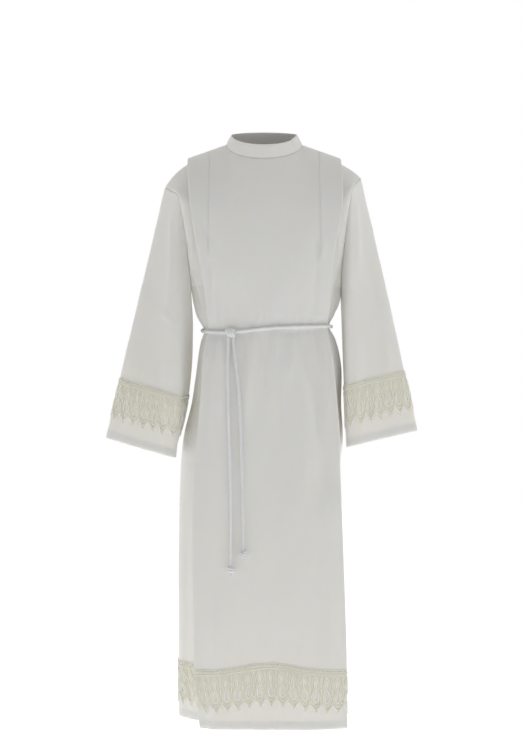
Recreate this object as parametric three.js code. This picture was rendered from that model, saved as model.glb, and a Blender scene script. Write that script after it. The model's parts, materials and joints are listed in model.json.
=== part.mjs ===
// A worn alb: the long white tunic with sleeves that is worn under other vestments, held in shape as on
// its wearer and tied at the waist with a cord. It is made of a front and a back with two deep pleats
// each, two sleeves set into dropped armholes, a stand collar, and bands of scalloped lace on the sleeves
// and above the hem. Every cloth piece is a hollow wall. Millimetres, +Z up, the front faces -Y, and the
// origin is the middle of the neck at the height of the shoulder seams.
import * as THREE from "three";

const CLOTH = 1.6; // wall of the cloth
const SEAM = 0.4; // gap between two pieces at a seam
const NECK_SEAM = 0.5; // the same where the collar's thicker wall is set in
const CHEST = -200; // height where the shoulder slope has become the upright front
const UNDERARM = -350;
const WAIST = -454;
const HEM = -1416;
const COLLAR_WALL = 2.4;
const LACE_WALL = 1.0;
const LACE_LIFT = 0.9; // gap between the cloth and the lace that lies on it
const ARMHOLE_ROWS = 10; // rows of the body between the shoulder and the underarm

// A short table: each row becomes an object with the named columns.
function table(columns, rows) {
  return rows.map((row) => Object.fromEntries(columns.map((name, i) => [name, row[i]])));
}

// One column of a table at the given key, by a smooth curve through the rows.
function read(rows, key, at, name) {
  const down = rows[0][key] > rows[rows.length - 1][key];
  const place = (row) => (down ? -row[key] : row[key]);
  const x = THREE.MathUtils.clamp(down ? -at : at, place(rows[0]), place(rows[rows.length - 1]));
  let i = 0;
  while (i < rows.length - 2 && x > place(rows[i + 1])) i += 1;
  const [a, b] = [rows[i], rows[i + 1]];
  const span = place(b) - place(a);
  const t = (x - place(a)) / span;
  const slope = (p, q) => (q[name] - p[name]) / (place(q) - place(p));
  const here = slope(a, b);
  const before = i > 0 ? (slope(rows[i - 1], a) + here) / 2 : here;
  const after = i + 2 < rows.length ? (here + slope(b, rows[i + 2])) / 2 : here;
  const [t2, t3] = [t * t, t * t * t];
  return (
    (2 * t3 - 3 * t2 + 1) * a[name] +
    (t3 - 2 * t2 + t) * before * span +
    (3 * t2 - 2 * t3) * b[name] +
    (t3 - t2) * after * span
  );
}

const mix = (a, b, t) => a + (b - a) * t;
const bell = (x) => Math.exp(-x * x);
const vec = (x, y, z) => new THREE.Vector3(x, y, z);

// Neck opening: half its width, how far it lies in front of and behind the origin, and its heights.
const NECK = { half: 93, front: 78, back: 62, side: 3, frontDrop: 45, backRise: 9 };
const SHOULDER = { slope: 0.355, y: 2, left: -189, right: 190 };

// Upright centre panels between their two pleat edges. centre and edge are Y at the middle and the edges.
const PANEL = {
  front: table(
    ["z", "left", "right", "centre", "edge"],
    [
      [-200, -173, 184, -110, -93],
      [-252, -164, 174, -113, -95],
      [-300, -155, 167, -113, -93],
      [-365, -145, 162, -109, -86],
      [-425, -138, 158, -102, -76],
      [-454, -137, 155, -97, -70],
      [-484, -143, 160, -101, -77],
      [-540, -149, 169, -107, -88],
      [-600, -152, 174, -110, -94],
      [-700, -161, 182, -114, -98],
      [-790, -169, 184, -117, -100],
      [-900, -174, 188, -120, -102],
      [-1010, -174, 192, -123, -104],
      [-1230, -164, 199, -129, -107],
      [-1416, -162, 201, -133, -109],
    ],
  ),
  back: table(
    ["z", "left", "right", "centre", "edge"],
    [
      [-200, -172, 172, 114, 96],
      [-300, -160, 162, 113, 93],
      [-425, -146, 150, 93, 71],
      [-454, -143, 147, 86, 62],
      [-484, -148, 152, 93, 72],
      [-600, -160, 164, 118, 97],
      [-790, -172, 175, 130, 106],
      [-1010, -178, 183, 139, 112],
      [-1416, -182, 188, 150, 120],
    ],
  ),
};

// How far each pleat goes in under its panel, and how far behind the panel its inner fold lies.
const PLEAT = table(
  ["z", "under", "behind"],
  [
    [0, 36, 9],
    [-200, 42, 19],
    [-350, 46, 22],
    [-425, 42, 13],
    [-454, 38, 10],
    [-484, 42, 14],
    [-600, 52, 30],
    [-790, 60, 48],
    [-1010, 64, 62],
    [-1416, 66, 74],
  ],
);

// Side seams below the underarm.
const SIDE = {
  left: table(
    ["z", "x", "y"],
    [
      [-350, -181, 0],
      [-385, -174, 0],
      [-425, -163, 0],
      [-454, -147, 0],
      [-484, -156, 3],
      [-570, -169, 14],
      [-640, -180, 22],
      [-717, -199, 30],
      [-828, -209, 40],
      [-1225, -213, 54],
      [-1416, -213, 58],
    ],
  ),
  right: table(
    ["z", "x", "y"],
    [
      [-350, 189, 0],
      [-385, 186, 0],
      [-425, 172, 0],
      [-454, 160, 0],
      [-484, 177, 3],
      [-543, 191, 10],
      [-640, 192, 20],
      [-732, 196, 28],
      [-782, 190, 32],
      [-840, 187, 36],
      [-1250, 193, 46],
      [-1416, 195, 50],
    ],
  ),
};

// Sleeves from the armhole (t 0) to the cuff (t 1): the outer edge, the fold at the front, the inner
// edge and the back of each section, and how far the wall rounds out between them.
const SLEEVE_COLUMNS = [
  "t", "outerX", "outerY", "outerZ", "foldX", "foldY", "foldZ", "innerX", "innerY", "innerZ",
  "backX", "backY", "backZ", "roundFront", "roundInner", "roundBack", "roundOuter",
];
const SLEEVE = {
  left: table(SLEEVE_COLUMNS, [
    [0, -246, 4, -105, -206, -62, -143, -181, 0, -350, -210, 64, -148, 10, 30, 30, 10],
    [0.3, -289, 1, -290, -210, -69, -330, -177, 12, -474, -236, 72, -327, 9, 17, 22, 12],
    [0.7, -347, -3, -538, -208, -72, -580, -193, 25, -640, -272, 74, -566, 8, 9, 15, 14],
    [1, -390, -6, -723, -223, -66, -767, -226, 20, -762, -304, 68, -745, 8, 6, 12, 14],
  ]),
  right: table(SLEEVE_COLUMNS, [
    [0, 240, 4, -80, 211, -62, -130, 189, 0, -350, 212, 64, -132, 10, 30, 30, 10],
    [0.3, 283, 1, -268, 207, -68, -318, 195, 12, -470, 238, 72, -308, 9, 17, 22, 12],
    [0.7, 338, -3, -518, 204, -70, -562, 206, 28, -628, 270, 74, -548, 8, 9, 15, 14],
    [1, 378, -6, -705, 209, -64, -741, 215, 22, -746, 298, 68, -728, 8, 6, 12, 14],
  ]),
};

// The largest soft folds: ridges stand out of the panel, troughs have a negative height.
const FOLD_COLUMNS = ["topZ", "bottomZ", "topX", "bottomX", "height", "width"];
const FOLDS = {
  front: table(FOLD_COLUMNS, [
    [-190, -430, -133, -116, -4, 20],
    [-470, -1420, 88, 118, 5, 26],
    [-470, -900, 122, 150, -5, 24],
    [-470, -1420, -96, -112, 4, 28],
    [-560, -1420, 10, 26, -6, 44],
    [-820, -1420, 150, 168, 4, 26],
  ]),
  back: table(FOLD_COLUMNS, [
    [-240, -440, 62, 44, 5, 24],
    [-240, -440, -60, -42, 5, 24],
    [-470, -1420, -84, -122, 7, 30],
    [-470, -1420, 0, 6, 7, 34],
    [-470, -1420, 82, 126, 7, 30],
    [-470, -1000, -42, -58, -6, 22],
    [-470, -1000, 42, 58, -6, 22],
  ]),
};

function folds(side, x, z) {
  let sum = 0;
  for (const f of FOLDS[side]) {
    const along = (f.topZ - z) / (f.topZ - f.bottomZ);
    if (along > 0 && along < 1) {
      const fade = Math.min(1, along * 6, f.bottomZ <= HEM ? 1 : (1 - along) * 4);
      sum += f.height * fade * bell((x - mix(f.topX, f.bottomX, along)) / f.width);
    }
  }
  return side === "front" ? -sum : sum;
}

// The cord pulls the waist down where it is knotted and rides up towards the right side.
function sag(point) {
  const near = bell((point.z - WAIST) / 38);
  const knot = point.y < -30 ? 8 * bell((point.x + 84) / 70) : 0;
  point.z += near * (0.03 * point.x - knot + (point.y > 0 ? 4 : 0));
  return point;
}

// A panel's own surface. w runs from -1 to 1 between its pleat edges. v runs from 0 at the shoulder
// seam to 1 at the chest, and from 1 to 2 at the hem.
function section(side, w, z) {
  const rows = PANEL[side];
  const x = mix(read(rows, "z", z, "left"), read(rows, "z", z, "right"), (w + 1) / 2);
  const y = mix(read(rows, "z", z, "centre"), read(rows, "z", z, "edge"), w * w);
  return vec(x, y + folds(side, x, z), z);
}

function topEdge(side, w) {
  const x = mix(SHOULDER.left, SHOULDER.right, (w + 1) / 2);
  const out = Math.abs(x) - NECK.half;
  if (out >= -0.01) return vec(x, SHOULDER.y, NECK.side - out * SHOULDER.slope);
  const open = Math.sqrt(1 - (x / NECK.half) ** 2);
  return side === "front"
    ? vec(x, mix(SHOULDER.y, -NECK.front, open), NECK.side - NECK.frontDrop * open)
    : vec(x, mix(SHOULDER.y, NECK.back, open), NECK.side + NECK.backRise * open);
}

function panel(side, w, v) {
  if (v >= 1) return section(side, w, CHEST - (v - 1) * (CHEST - HEM));
  const start = topEdge(side, w);
  const end = section(side, w, CHEST);
  const below = section(side, w, CHEST - 1).sub(end);
  const open = Math.abs(start.y - SHOULDER.y) / (side === "front" ? NECK.front : NECK.back);
  const steep = open ** 0.4;
  const leave =
    side === "front"
      ? vec(0, -mix(150, 60, open), -mix(20, 130, steep))
      : vec(0, mix(150, 110, open), -mix(20, 90, steep));
  const arrive = below.multiplyScalar(mix(220, 170, open));
  const [v2, v3] = [v * v, v * v * v];
  return start
    .multiplyScalar(2 * v3 - 3 * v2 + 1)
    .addScaledVector(leave, v3 - 2 * v2 + v)
    .addScaledVector(end, 3 * v2 - 2 * v3)
    .addScaledVector(arrive, v3 - v2);
}

// A sleeve's section at t, as a closed curve: q is 0 at the outer edge, 0.25 at the front fold, 0.5 at
// the inner edge and 0.75 at the back.
function sleeveRing(arm, t) {
  const get = (name) => read(SLEEVE[arm], "t", t, name);
  const corner = (name) => vec(get(name + "X"), get(name + "Y"), get(name + "Z"));
  const corners = ["outer", "fold", "inner", "back"].map(corner);
  const middle = corners.reduce((sum, p) => sum.add(p), vec(0, 0, 0)).multiplyScalar(1 / 4);
  const rounds = ["roundFront", "roundInner", "roundBack", "roundOuter"].map(get);
  const points = corners.flatMap((p, i) => {
    const half = p.clone().lerp(corners[(i + 1) % 4], 0.5);
    const out = half.clone().sub(middle).normalize();
    return [p, half.addScaledVector(out, rounds[i])];
  });
  return new THREE.CatmullRomCurve3(points, true, "catmullrom", 0.5);
}

// The armhole is the sleeve's first section: g runs from the shoulder (0) to the underarm (1).
function armhole(side, arm, g) {
  const q = side === "front" ? g / 2 : 1 - g / 2;
  return sleeveRing(arm, 0).getPoint(q % 1);
}

// Rows of the body: down the armhole, then down the side seam.
const ARMHOLE_V = [0, 0.13, 0.3, 0.5, 0.75, 1];
const BODY_ROWS = [];
for (let j = 0; j <= ARMHOLE_ROWS; j += 1) {
  const half = ARMHOLE_ROWS / 2;
  const z = mix(CHEST, UNDERARM, (j - half) / half);
  BODY_ROWS.push({ g: j / ARMHOLE_ROWS, v: j <= half ? ARMHOLE_V[j] : 1 + (CHEST - z) / (CHEST - HEM) });
}
for (const z of [-388, -425, -442, -454, -466, -484, -530, -600, -690, -780, -900, -1030, -1160, -1270, -1345, -1416]) {
  BODY_ROWS.push({ g: null, v: 1 + (CHEST - z) / (CHEST - HEM) });
}

const rowHeight = (v) => CHEST - (v - 1) * (CHEST - HEM);

// Where a row ends: on the armhole, or on the side seam below it.
function rowEnd(side, arm, row) {
  if (row.g !== null) return armhole(side, arm, row.g);
  const z = rowHeight(row.v);
  return vec(read(SIDE[arm], "z", z, "x"), read(SIDE[arm], "z", z, "y"), z);
}

// One pleat: from the panel's edge round the outer fold, in under the panel, round the inner fold and
// out again along the side to the row's end. Both folds are round, three points each.
const FOLD_ROUND = { reach: 3, rise: 2.4 };
const SIDE_POINTS = 4;
const SHOULDER_CORNER = { left: vec(32, 0, 58), right: vec(-35, 0, 34) }; // from the armhole's top
function pleat(side, arm, row) {
  const w = arm === "left" ? -1 : 1;
  const edge = panel(side, w, row.v);
  const inward = panel(side, w * 0.98, row.v).sub(edge).normalize();
  const forward = vec(0, side === "front" ? -1 : 1, 0);
  const down = row.v === 0 ? forward : panel(side, w, row.v + 0.01).sub(panel(side, w, row.v - 0.01));
  const behind = down.cross(inward).normalize();
  if (behind.y * (side === "front" ? 1 : -1) + behind.z * -0.5 < 0) behind.negate();
  const z = row.v < 1 ? mix(0, CHEST, row.v) : rowHeight(row.v);
  const under = read(PLEAT, "z", z, "under");
  const depth = read(PLEAT, "z", z, "behind");
  const at = (a, b) => edge.clone().addScaledVector(inward, a).addScaledVector(behind, b);
  const { reach, rise } = FOLD_ROUND;
  const inner = at(under - reach, depth + rise);
  const points = [at(reach, 0), at(0, rise), at(reach, 2 * rise), at(under - reach, depth - rise), at(under, depth), inner];
  const end = rowEnd(side, arm, row);
  const lean = Math.min(1, row.v) ** 0.7;
  const corner = end.clone().add(
    SHOULDER_CORNER[arm].clone().lerp(vec(w, (inner.y - end.y) * 0.9, 0), lean),
  );
  for (let k = 1; k <= SIDE_POINTS; k += 1) {
    const t = k / SIDE_POINTS;
    points.push(
      inner.clone().multiplyScalar((1 - t) ** 2).addScaledVector(corner, 2 * t * (1 - t)).addScaledVector(end, t * t),
    );
  }
  return points;
}

// Columns of a panel between its edges: the neckline in equal angles, and one column in each shoulder.
const NECK_COLUMNS = 8;
const PANEL_W = [];
for (let i = 0; i <= NECK_COLUMNS; i += 1) {
  const x = NECK.half * Math.sin(Math.PI * (i / NECK_COLUMNS - 0.5));
  PANEL_W.push((2 * (x - SHOULDER.left)) / (SHOULDER.right - SHOULDER.left) - 1);
}
PANEL_W.unshift((PANEL_W[0] - 1) / 2);
PANEL_W.push((PANEL_W[NECK_COLUMNS + 1] + 1) / 2);
const FIRST_NECK = 6 + SIDE_POINTS + 1; // index of the neckline's first column in a body row

function bodyGrid(side) {
  return BODY_ROWS.map((row) => {
    const points = [
      ...pleat(side, "left", row).reverse(),
      ...PANEL_W.map((w) => panel(side, w, row.v)),
      ...pleat(side, "right", row),
    ];
    return points.map(sag);
  });
}

// Wall directions of a grid of points, pointing out of the garment.
function directions(grid, closed, sign) {
  const [rows, columns] = [grid.length, grid[0].length];
  return grid.map((line, j) =>
    line.map((_, i) => {
      const [up, dn] = [grid[Math.max(0, j - 1)][i], grid[Math.min(rows - 1, j + 1)][i]];
      const before = closed ? line[(i + columns - 1) % columns] : line[Math.max(0, i - 1)];
      const after = closed ? line[(i + 1) % columns] : line[Math.min(columns - 1, i + 1)];
      const here = line[i];
      const one = here.clone().sub(before).normalize();
      const two = after.clone().sub(here).normalize();
      const across = one.add(two);
      return across.cross(dn.clone().sub(up)).normalize().multiplyScalar(sign);
    }),
  );
}

// A wall of even thickness about a grid of middle points: skip(j, i) leaves a cell open.
function wall(name, grid, dirs, thickness, closed, material, skip = () => false) {
  const [rows, columns] = [grid.length, grid[0].length];
  const half = thickness / 2;
  const positions = [];
  const faces = [];
  const vertex = (layer, j, i) => layer * rows * columns + j * columns + (i % columns);
  for (const sign of [1, -1]) {
    grid.forEach((line, j) =>
      line.forEach((p, i) => positions.push(...p.clone().addScaledVector(dirs[j][i], sign * half).toArray())),
    );
  }
  const quad = (a, b, c, d) => faces.push(a, b, c, a, c, d);
  const cells = closed ? columns : columns - 1;
  const open = (j, i) => {
    if (j < 0 || j >= rows - 1) return true;
    if (!closed && (i < 0 || i >= cells)) return true;
    return skip(j, (i + cells) % cells);
  };
  for (let j = 0; j < rows - 1; j += 1) {
    for (let i = 0; i < cells; i += 1) {
      if (open(j, i)) continue;
      const corners = [[j, i], [j + 1, i], [j + 1, i + 1], [j, i + 1]];
      const [a, b, c, d] = corners.map(([row, column]) => vertex(0, row, column));
      const [e, f, g, h] = corners.map(([row, column]) => vertex(1, row, column));
      const [p, q] = [grid[j][i], grid[j + 1][(i + 1) % columns]];
      const [r, s] = [grid[j + 1][i], grid[j][(i + 1) % columns]];
      const shorter = p.distanceTo(q) <= r.distanceTo(s); // both faces are split along the shorter diagonal
      quad(...(shorter ? [a, b, c, d] : [b, c, d, a]));
      quad(...(shorter ? [e, h, g, f] : [h, g, f, e]));
      const returning = closed && i >= cells / 2; // the ring's second half meets a piece that runs the other way
      if (open(j - 1, i)) quad(...(returning ? [d, h, e, a] : [a, d, h, e]));
      if (open(j + 1, i)) quad(c, b, f, g);
      if (open(j, i - 1)) quad(a, e, f, b);
      if (open(j, i + 1)) quad(d, c, g, h);
    }
  }
  return solid(name, positions, faces, material);
}

// A mesh from its points and faces, turned so that its faces point out.
function solid(name, positions, faces, material) {
  let volume = 0;
  const p = (k) => vec(positions[3 * k], positions[3 * k + 1], positions[3 * k + 2]);
  for (let k = 0; k < faces.length; k += 3) volume += p(faces[k]).dot(p(faces[k + 1]).cross(p(faces[k + 2])));
  if (volume < 0) faces.reverse();
  const geometry = new THREE.BufferGeometry();
  geometry.setAttribute("position", new THREE.Float32BufferAttribute(positions, 3));
  geometry.setIndex(faces);
  geometry.computeVertexNormals();
  const mesh = new THREE.Mesh(geometry, material);
  mesh.name = name;
  return mesh;
}

const cloth = new THREE.MeshStandardMaterial({ color: 0xf1f1ee, roughness: 0.85, metalness: 0 });
const laceThread = new THREE.MeshStandardMaterial({ color: 0xe6e4d2, roughness: 0.8, metalness: 0 });
const cordThread = new THREE.MeshStandardMaterial({ color: 0xf4f4f6, roughness: 0.7, metalness: 0 });

const group = new THREE.Group();

// Body and sleeves. Where two pieces meet, both walls get the same direction, so their ends lie flat
// against each other with the seam's gap between them.
const grids = { front: bodyGrid("front"), back: bodyGrid("back") };
const dirs = { front: directions(grids.front, false, -1), back: directions(grids.back, false, 1) };
const LAST = grids.front[0].length - 1;

const SLEEVE_RING = 2 * ARMHOLE_ROWS;
const SLEEVE_ROWS = [0, 0.03, 0.1, 0.2, 0.32, 0.44, 0.56, 0.67, 0.76, 0.84, 0.92, 1];
for (const arm of ["left", "right"]) {
  grids[arm] = SLEEVE_ROWS.map((t) => {
    const ring = sleeveRing(arm, t);
    return Array.from({ length: SLEEVE_RING }, (_, k) => ring.getPoint(k / SLEEVE_RING));
  });
  dirs[arm] = directions(grids[arm], true, arm === "left" ? -1 : 1);
}

// Gives all the wall directions at one seam point their common middle.
function share(...places) {
  const sum = vec(0, 0, 0);
  for (const [piece, j, i] of places) sum.add(dirs[piece][j][i]);
  sum.normalize();
  for (const [piece, j, i] of places) dirs[piece][j][i].copy(sum);
}

for (const [arm, column] of [["left", 0], ["right", LAST]]) {
  share(["front", 0, column], ["back", 0, column], [arm, 0, 0]);
  for (let j = 1; j < ARMHOLE_ROWS; j += 1) {
    share(["front", j, column], [arm, 0, j]);
    share(["back", j, column], [arm, 0, SLEEVE_RING - j]);
  }
  for (const [piece, i] of [["front", column], ["back", column]]) dirs[piece][ARMHOLE_ROWS][i].set(0, 0, -1);
  dirs[arm][0][ARMHOLE_ROWS].set(0, 0, -1);
  for (let j = ARMHOLE_ROWS + 1; j < BODY_ROWS.length; j += 1) share(["front", j, column], ["back", j, column]);
}
const LAST_NECK = FIRST_NECK + NECK_COLUMNS;
for (let i = 1; i < LAST; i += 1) {
  if (i > FIRST_NECK && i < LAST_NECK) continue;
  for (const side of ["front", "back"]) dirs[side][0][i].setY(0);
  share(["front", 0, i], ["back", 0, i]);
}

// Collar: a ring with two columns for each of the neckline's, on the neckline's own points.
const COLLAR_TOP = { half: 80, front: 70, back: 56, side: 27, frontDrop: 35, backRise: 15 };
const COLLAR_ROWS = [0, 0.35, 0.7, 1];
const COLLAR_RING = 4 * NECK_COLUMNS;
function collarPoint(shape, angle) {
  const [s, c] = [Math.sin(angle), Math.cos(angle)];
  return c > 0
    ? vec(shape.half * s, mix(SHOULDER.y, -shape.front, c), shape.side - shape.frontDrop * c)
    : vec(shape.half * s, mix(SHOULDER.y, shape.back, -c), shape.side - shape.backRise * c);
}
grids.collar = COLLAR_ROWS.map((h) =>
  Array.from({ length: COLLAR_RING }, (_, k) => {
    const angle = (k / COLLAR_RING) * 2 * Math.PI - Math.PI / 2;
    const low = collarPoint(NECK, angle);
    return low.lerp(collarPoint(COLLAR_TOP, angle), h);
  }),
);
grids.collar[0].forEach((p, k, ring) => {
  if (k % 2) p.copy(ring[k - 1]).lerp(ring[(k + 1) % COLLAR_RING], 0.5);
});
dirs.collar = directions(grids.collar, true, 1);
share(["front", 0, FIRST_NECK], ["back", 0, FIRST_NECK], ["collar", 0, 0]);
share(["front", 0, LAST_NECK], ["back", 0, LAST_NECK], ["collar", 0, 2 * NECK_COLUMNS]);
for (let k = 1; k < NECK_COLUMNS; k += 1) {
  share(["front", 0, FIRST_NECK + k], ["collar", 0, 2 * k]);
  share(["back", 0, FIRST_NECK + k], ["collar", 0, COLLAR_RING - 2 * k]);
}
dirs.collar[0].forEach((d, k, ring) => {
  if (k % 2) d.copy(ring[k - 1]).add(ring[(k + 1) % COLLAR_RING]).normalize();
});

// Draws a piece's edges back by half the seam's gap.
function drawBack(grid, lines) {
  for (const [edge, next, gap] of lines) {
    edge.forEach(([j, i], k) => {
      const [nj, ni] = next[k];
      const toward = grid[nj][ni].clone().sub(grid[j][i]).normalize();
      grid[j][i].addScaledVector(toward, (gap ?? SEAM) / 2);
    });
  }
}
const columnCells = (grid, i) => grid.map((_, j) => [j, i]);
const rowCells = (grid, j) => grid[j].map((_, i) => [j, i]);
for (const side of ["front", "back"]) {
  const grid = grids[side];
  drawBack(grid, [
    [columnCells(grid, 0), columnCells(grid, 1)],
    [columnCells(grid, LAST), columnCells(grid, LAST - 1)],
    [rowCells(grid, 0), rowCells(grid, 1), NECK_SEAM],
  ]);
  group.add(wall(side, grid, dirs[side], CLOTH, false, cloth));
}
for (const piece of ["left", "right", "collar"]) {
  const gap = piece === "collar" ? NECK_SEAM : SEAM;
  drawBack(grids[piece], [[rowCells(grids[piece], 0), rowCells(grids[piece], 1), gap]]);
}
group.add(wall("sleeve_left", grids.left, dirs.left, CLOTH, true, cloth));
group.add(wall("sleeve_right", grids.right, dirs.right, CLOTH, true, cloth));
group.add(wall("collar", grids.collar, dirs.collar, COLLAR_WALL, true, cloth));

// Lace. One repeat has a notch in its lower edge, a pointed scallop, and a drop-shaped gap above it.
// down is measured from the band's top edge.
const LACE_PITCH = 27;
const LACE_REPEAT = table(
  ["across", "gapTop", "gapBottom", "edge"],
  [
    [0, 52, 68, 84],
    [0.3, 56, 70, 95],
    [0.5, 48, 77, 106],
    [0.7, 56, 70, 95],
  ],
);
const LACE_COLUMNS = LACE_REPEAT.length;
const inGap = (j, i) => j === 1 && (i % LACE_COLUMNS === 1 || i % LACE_COLUMNS === 2);

// A point of a piece's outer face moved out for the lace, at fractions of the grid's rows and columns.
function onPiece(piece, j, i, closed) {
  const grid = grids[piece];
  const columns = grid[0].length;
  const j0 = Math.min(grid.length - 2, Math.floor(j));
  const i0 = closed ? Math.floor(i) % columns : Math.min(columns - 2, Math.floor(i));
  const i1 = (i0 + 1) % columns;
  const [tj, ti] = [j - j0, closed ? i - Math.floor(i) : i - i0];
  const blend = (from) =>
    from[j0][i0].clone().lerp(from[j0][i1], ti).lerp(from[j0 + 1][i0].clone().lerp(from[j0 + 1][i1], ti), tj);
  const direction = blend(dirs[piece]).normalize();
  const lift = CLOTH / 2 + LACE_LIFT + LACE_WALL / 2;
  return { point: blend(grid).addScaledVector(direction, lift), direction };
}

// The cloth's own cells that a band runs over, in order: stretches are [piece, from column, to column].
function cellsOf(stretches) {
  return stretches.flatMap(([piece, from, to]) => {
    const step = Math.sign(to - from);
    return Array.from({ length: Math.abs(to - from) }, (_, k) => ({ piece, from: from + step * k, step }));
  });
}

// A band of lace over the cells. rowOf(piece, column, down) is the cloth's row at a depth below the
// band's top. At each of the cloth's columns the nearest column of the lace lies on it and bends with it.
function lace(name, cells, level, closed, rowOf) {
  const at = (place, down) => {
    const cell = cells[Math.min(cells.length - 1, Math.floor(place))];
    const column = cell.from + cell.step * (place - Math.min(cells.length - 1, Math.floor(place)));
    return onPiece(cell.piece, down === null ? level : rowOf(cell.piece, column, down), column, closed);
  };
  const length = [0];
  for (let k = 1; k <= cells.length; k += 1) {
    length.push(length[k - 1] + at(k - 1, null).point.distanceTo(at(k - 0.001, null).point));
  }
  const total = length[cells.length];
  const repeats = Math.round(total / LACE_PITCH);
  const columns = repeats * LACE_COLUMNS + (closed ? 0 : 1);
  const places = Array.from({ length: columns }, (_, c) => {
    const along = ((Math.floor(c / LACE_COLUMNS) + LACE_REPEAT[c % LACE_COLUMNS].across) / repeats) * total;
    let k = 0;
    while (k < cells.length - 1 && along > length[k + 1]) k += 1;
    return k + Math.min(1, (along - length[k]) / (length[k + 1] - length[k]));
  });
  for (let k = 1; k < cells.length; k += 1) {
    const gaps = places.map((place) => {
      const cell = place < k ? k - 1 : k;
      return Math.abs(place - k) * (length[cell + 1] - length[cell]);
    });
    places[gaps.indexOf(Math.min(...gaps))] = k;
  }
  const rows = ["top", "gapTop", "gapBottom", "edge"].map((part) =>
    places.map((place, c) => at(place, part === "top" ? 0 : LACE_REPEAT[c % LACE_COLUMNS][part])),
  );
  const [grid, dir] = ["point", "direction"].map((key) => rows.map((row) => row.map((spot) => spot[key])));
  group.add(wall(name, grid, dir, LACE_WALL, closed, laceThread, inGap));
}

// The hem's band lies higher in the middle of the front than at its sides.
const HEM_LACE_TOP = -1277;
const hemLaceTop = (point) => HEM_LACE_TOP + (point.y < -60 ? 20 * bell((point.x - 12) / 95) : 0);
const rowAt = (z) => {
  const v = 1 + (CHEST - z) / (CHEST - HEM);
  let j = 0;
  while (j < BODY_ROWS.length - 2 && v > BODY_ROWS[j + 1].v) j += 1;
  return j + (v - BODY_ROWS[j].v) / (BODY_ROWS[j + 1].v - BODY_ROWS[j].v);
};
const HEM_LEVEL = rowAt(HEM_LACE_TOP - 50);
const hemRow = (piece, column, down) => {
  return rowAt(hemLaceTop(onPiece(piece, HEM_LEVEL, column, false).point) - down);
};
const FACE = SIDE_POINTS + 5; // the panel's first flat column
const SIDE_END = SIDE_POINTS - 1; // the side's columns that the hem's lace runs over
lace("hem_lace_front", cellsOf([["front", FACE, LAST - FACE]]), HEM_LEVEL, false, hemRow);
lace("hem_lace_back", cellsOf([["back", FACE, LAST - FACE]]), HEM_LEVEL, false, hemRow);
const leftSide = [["front", SIDE_END, 0], ["back", 0, SIDE_END]];
const rightSide = [["front", LAST - SIDE_END, LAST], ["back", LAST, LAST - SIDE_END]];
lace("hem_lace_left", cellsOf(leftSide), HEM_LEVEL, false, hemRow);
lace("hem_lace_right", cellsOf(rightSide), HEM_LEVEL, false, hemRow);

// The sleeves' bands run round each sleeve at one distance from its cuff.
const CUFF_TO_LACE = 152; // from the cuff's edge up to the band's top edge
const CUFF_LEVEL = SLEEVE_ROWS.length - 3;
function sleeveRow(arm, column, down) {
  const grid = grids[arm];
  const i = Math.floor(column);
  const at = (j) => grid[j][i % SLEEVE_RING].clone().lerp(grid[j][(i + 1) % SLEEVE_RING], column - i);
  let left = CUFF_TO_LACE - down;
  let j = grid.length - 1;
  while (j > 1 && at(j).distanceTo(at(j - 1)) < left) {
    left -= at(j).distanceTo(at(j - 1));
    j -= 1;
  }
  return j - left / at(j).distanceTo(at(j - 1));
}
lace("sleeve_lace_left", cellsOf([["left", 0, SLEEVE_RING]]), CUFF_LEVEL, true, sleeveRow);
lace("sleeve_lace_right", cellsOf([["right", 0, SLEEVE_RING]]), CUFF_LEVEL, true, sleeveRow);

// Cincture: a cord round the waist, knotted at the front, and its two ends that hang down from the knot.
const CORD = 8;
const CORD_SIDES = 8;
const CORD_STEP = 20;
const KNOT = { w: -0.6, width: 27, depth: 19, height: 25, out: 7, down: 2 };
const END_KNOT = { width: 19, depth: 19, height: 24 };

function cordTube(name, points) {
  const path = new THREE.CatmullRomCurve3(points, false, "centripetal");
  const section = new THREE.Shape();
  section.absarc(0, 0, CORD / 2, 0, 2 * Math.PI, false);
  const steps = Math.round(path.getLength() / CORD_STEP);
  const corners = CORD_SIDES / 4;
  const shape = new THREE.Shape(section.getSpacedPoints(4 * corners).slice(0, CORD_SIDES));
  const geometry = new THREE.ExtrudeGeometry(shape, { steps, extrudePath: path, bevelEnabled: false });
  const mesh = new THREE.Mesh(geometry, cordThread);
  mesh.name = name;
  return mesh;
}

// A knot as a ball drawn out to its size, with its poles at the top and the bottom.
function knotBall(name, centre, size) {
  const mesh = new THREE.Mesh(new THREE.SphereGeometry(0.5, 12, 9), cordThread);
  mesh.name = name;
  mesh.rotation.x = Math.PI / 2;
  mesh.scale.set(size.width, size.height, size.depth);
  mesh.position.copy(centre);
  return mesh;
}

// The two hanging ends, from the knot down the front: they lie on the cloth and end in plain knots.
const CORD_ENDS = [
  table(
    ["x", "y", "z"],
    [
      [-85.3, -100, -479.2],
      [-85.5, -100.6, -492],
      [-86, -102.6, -506],
      [-86.5, -105.4, -524],
      [-87, -108.7, -548],
      [-87, -111.5, -580],
      [-86, -114.5, -620],
      [-84.5, -116.6, -665],
      [-83, -118.4, -712],
      [-81.5, -120.1, -760],
      [-80, -121.5, -808],
      [-79, -122.7, -856],
      [-78.5, -123.9, -904],
      [-78.5, -125, -950],
      [-79, -127, -990],
      [-79.5, -130.2, -1022],
    ],
  ),
  table(
    ["x", "y", "z"],
    [
      [-74.3, -100, -479.2],
      [-73.6, -101.8, -492],
      [-72, -104.1, -506],
      [-69.5, -107, -524],
      [-66.5, -109.9, -548],
      [-63, -112.2, -580],
      [-60, -114.4, -620],
      [-57.5, -116.3, -665],
      [-55.5, -118, -712],
      [-54, -119.7, -760],
      [-52.5, -121.3, -808],
      [-51.5, -122.6, -856],
      [-50.5, -124, -904],
      [-50, -125.4, -935],
      [-49.5, -127.8, -965],
      [-49, -130.4, -985],
    ],
  ),
];
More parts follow.
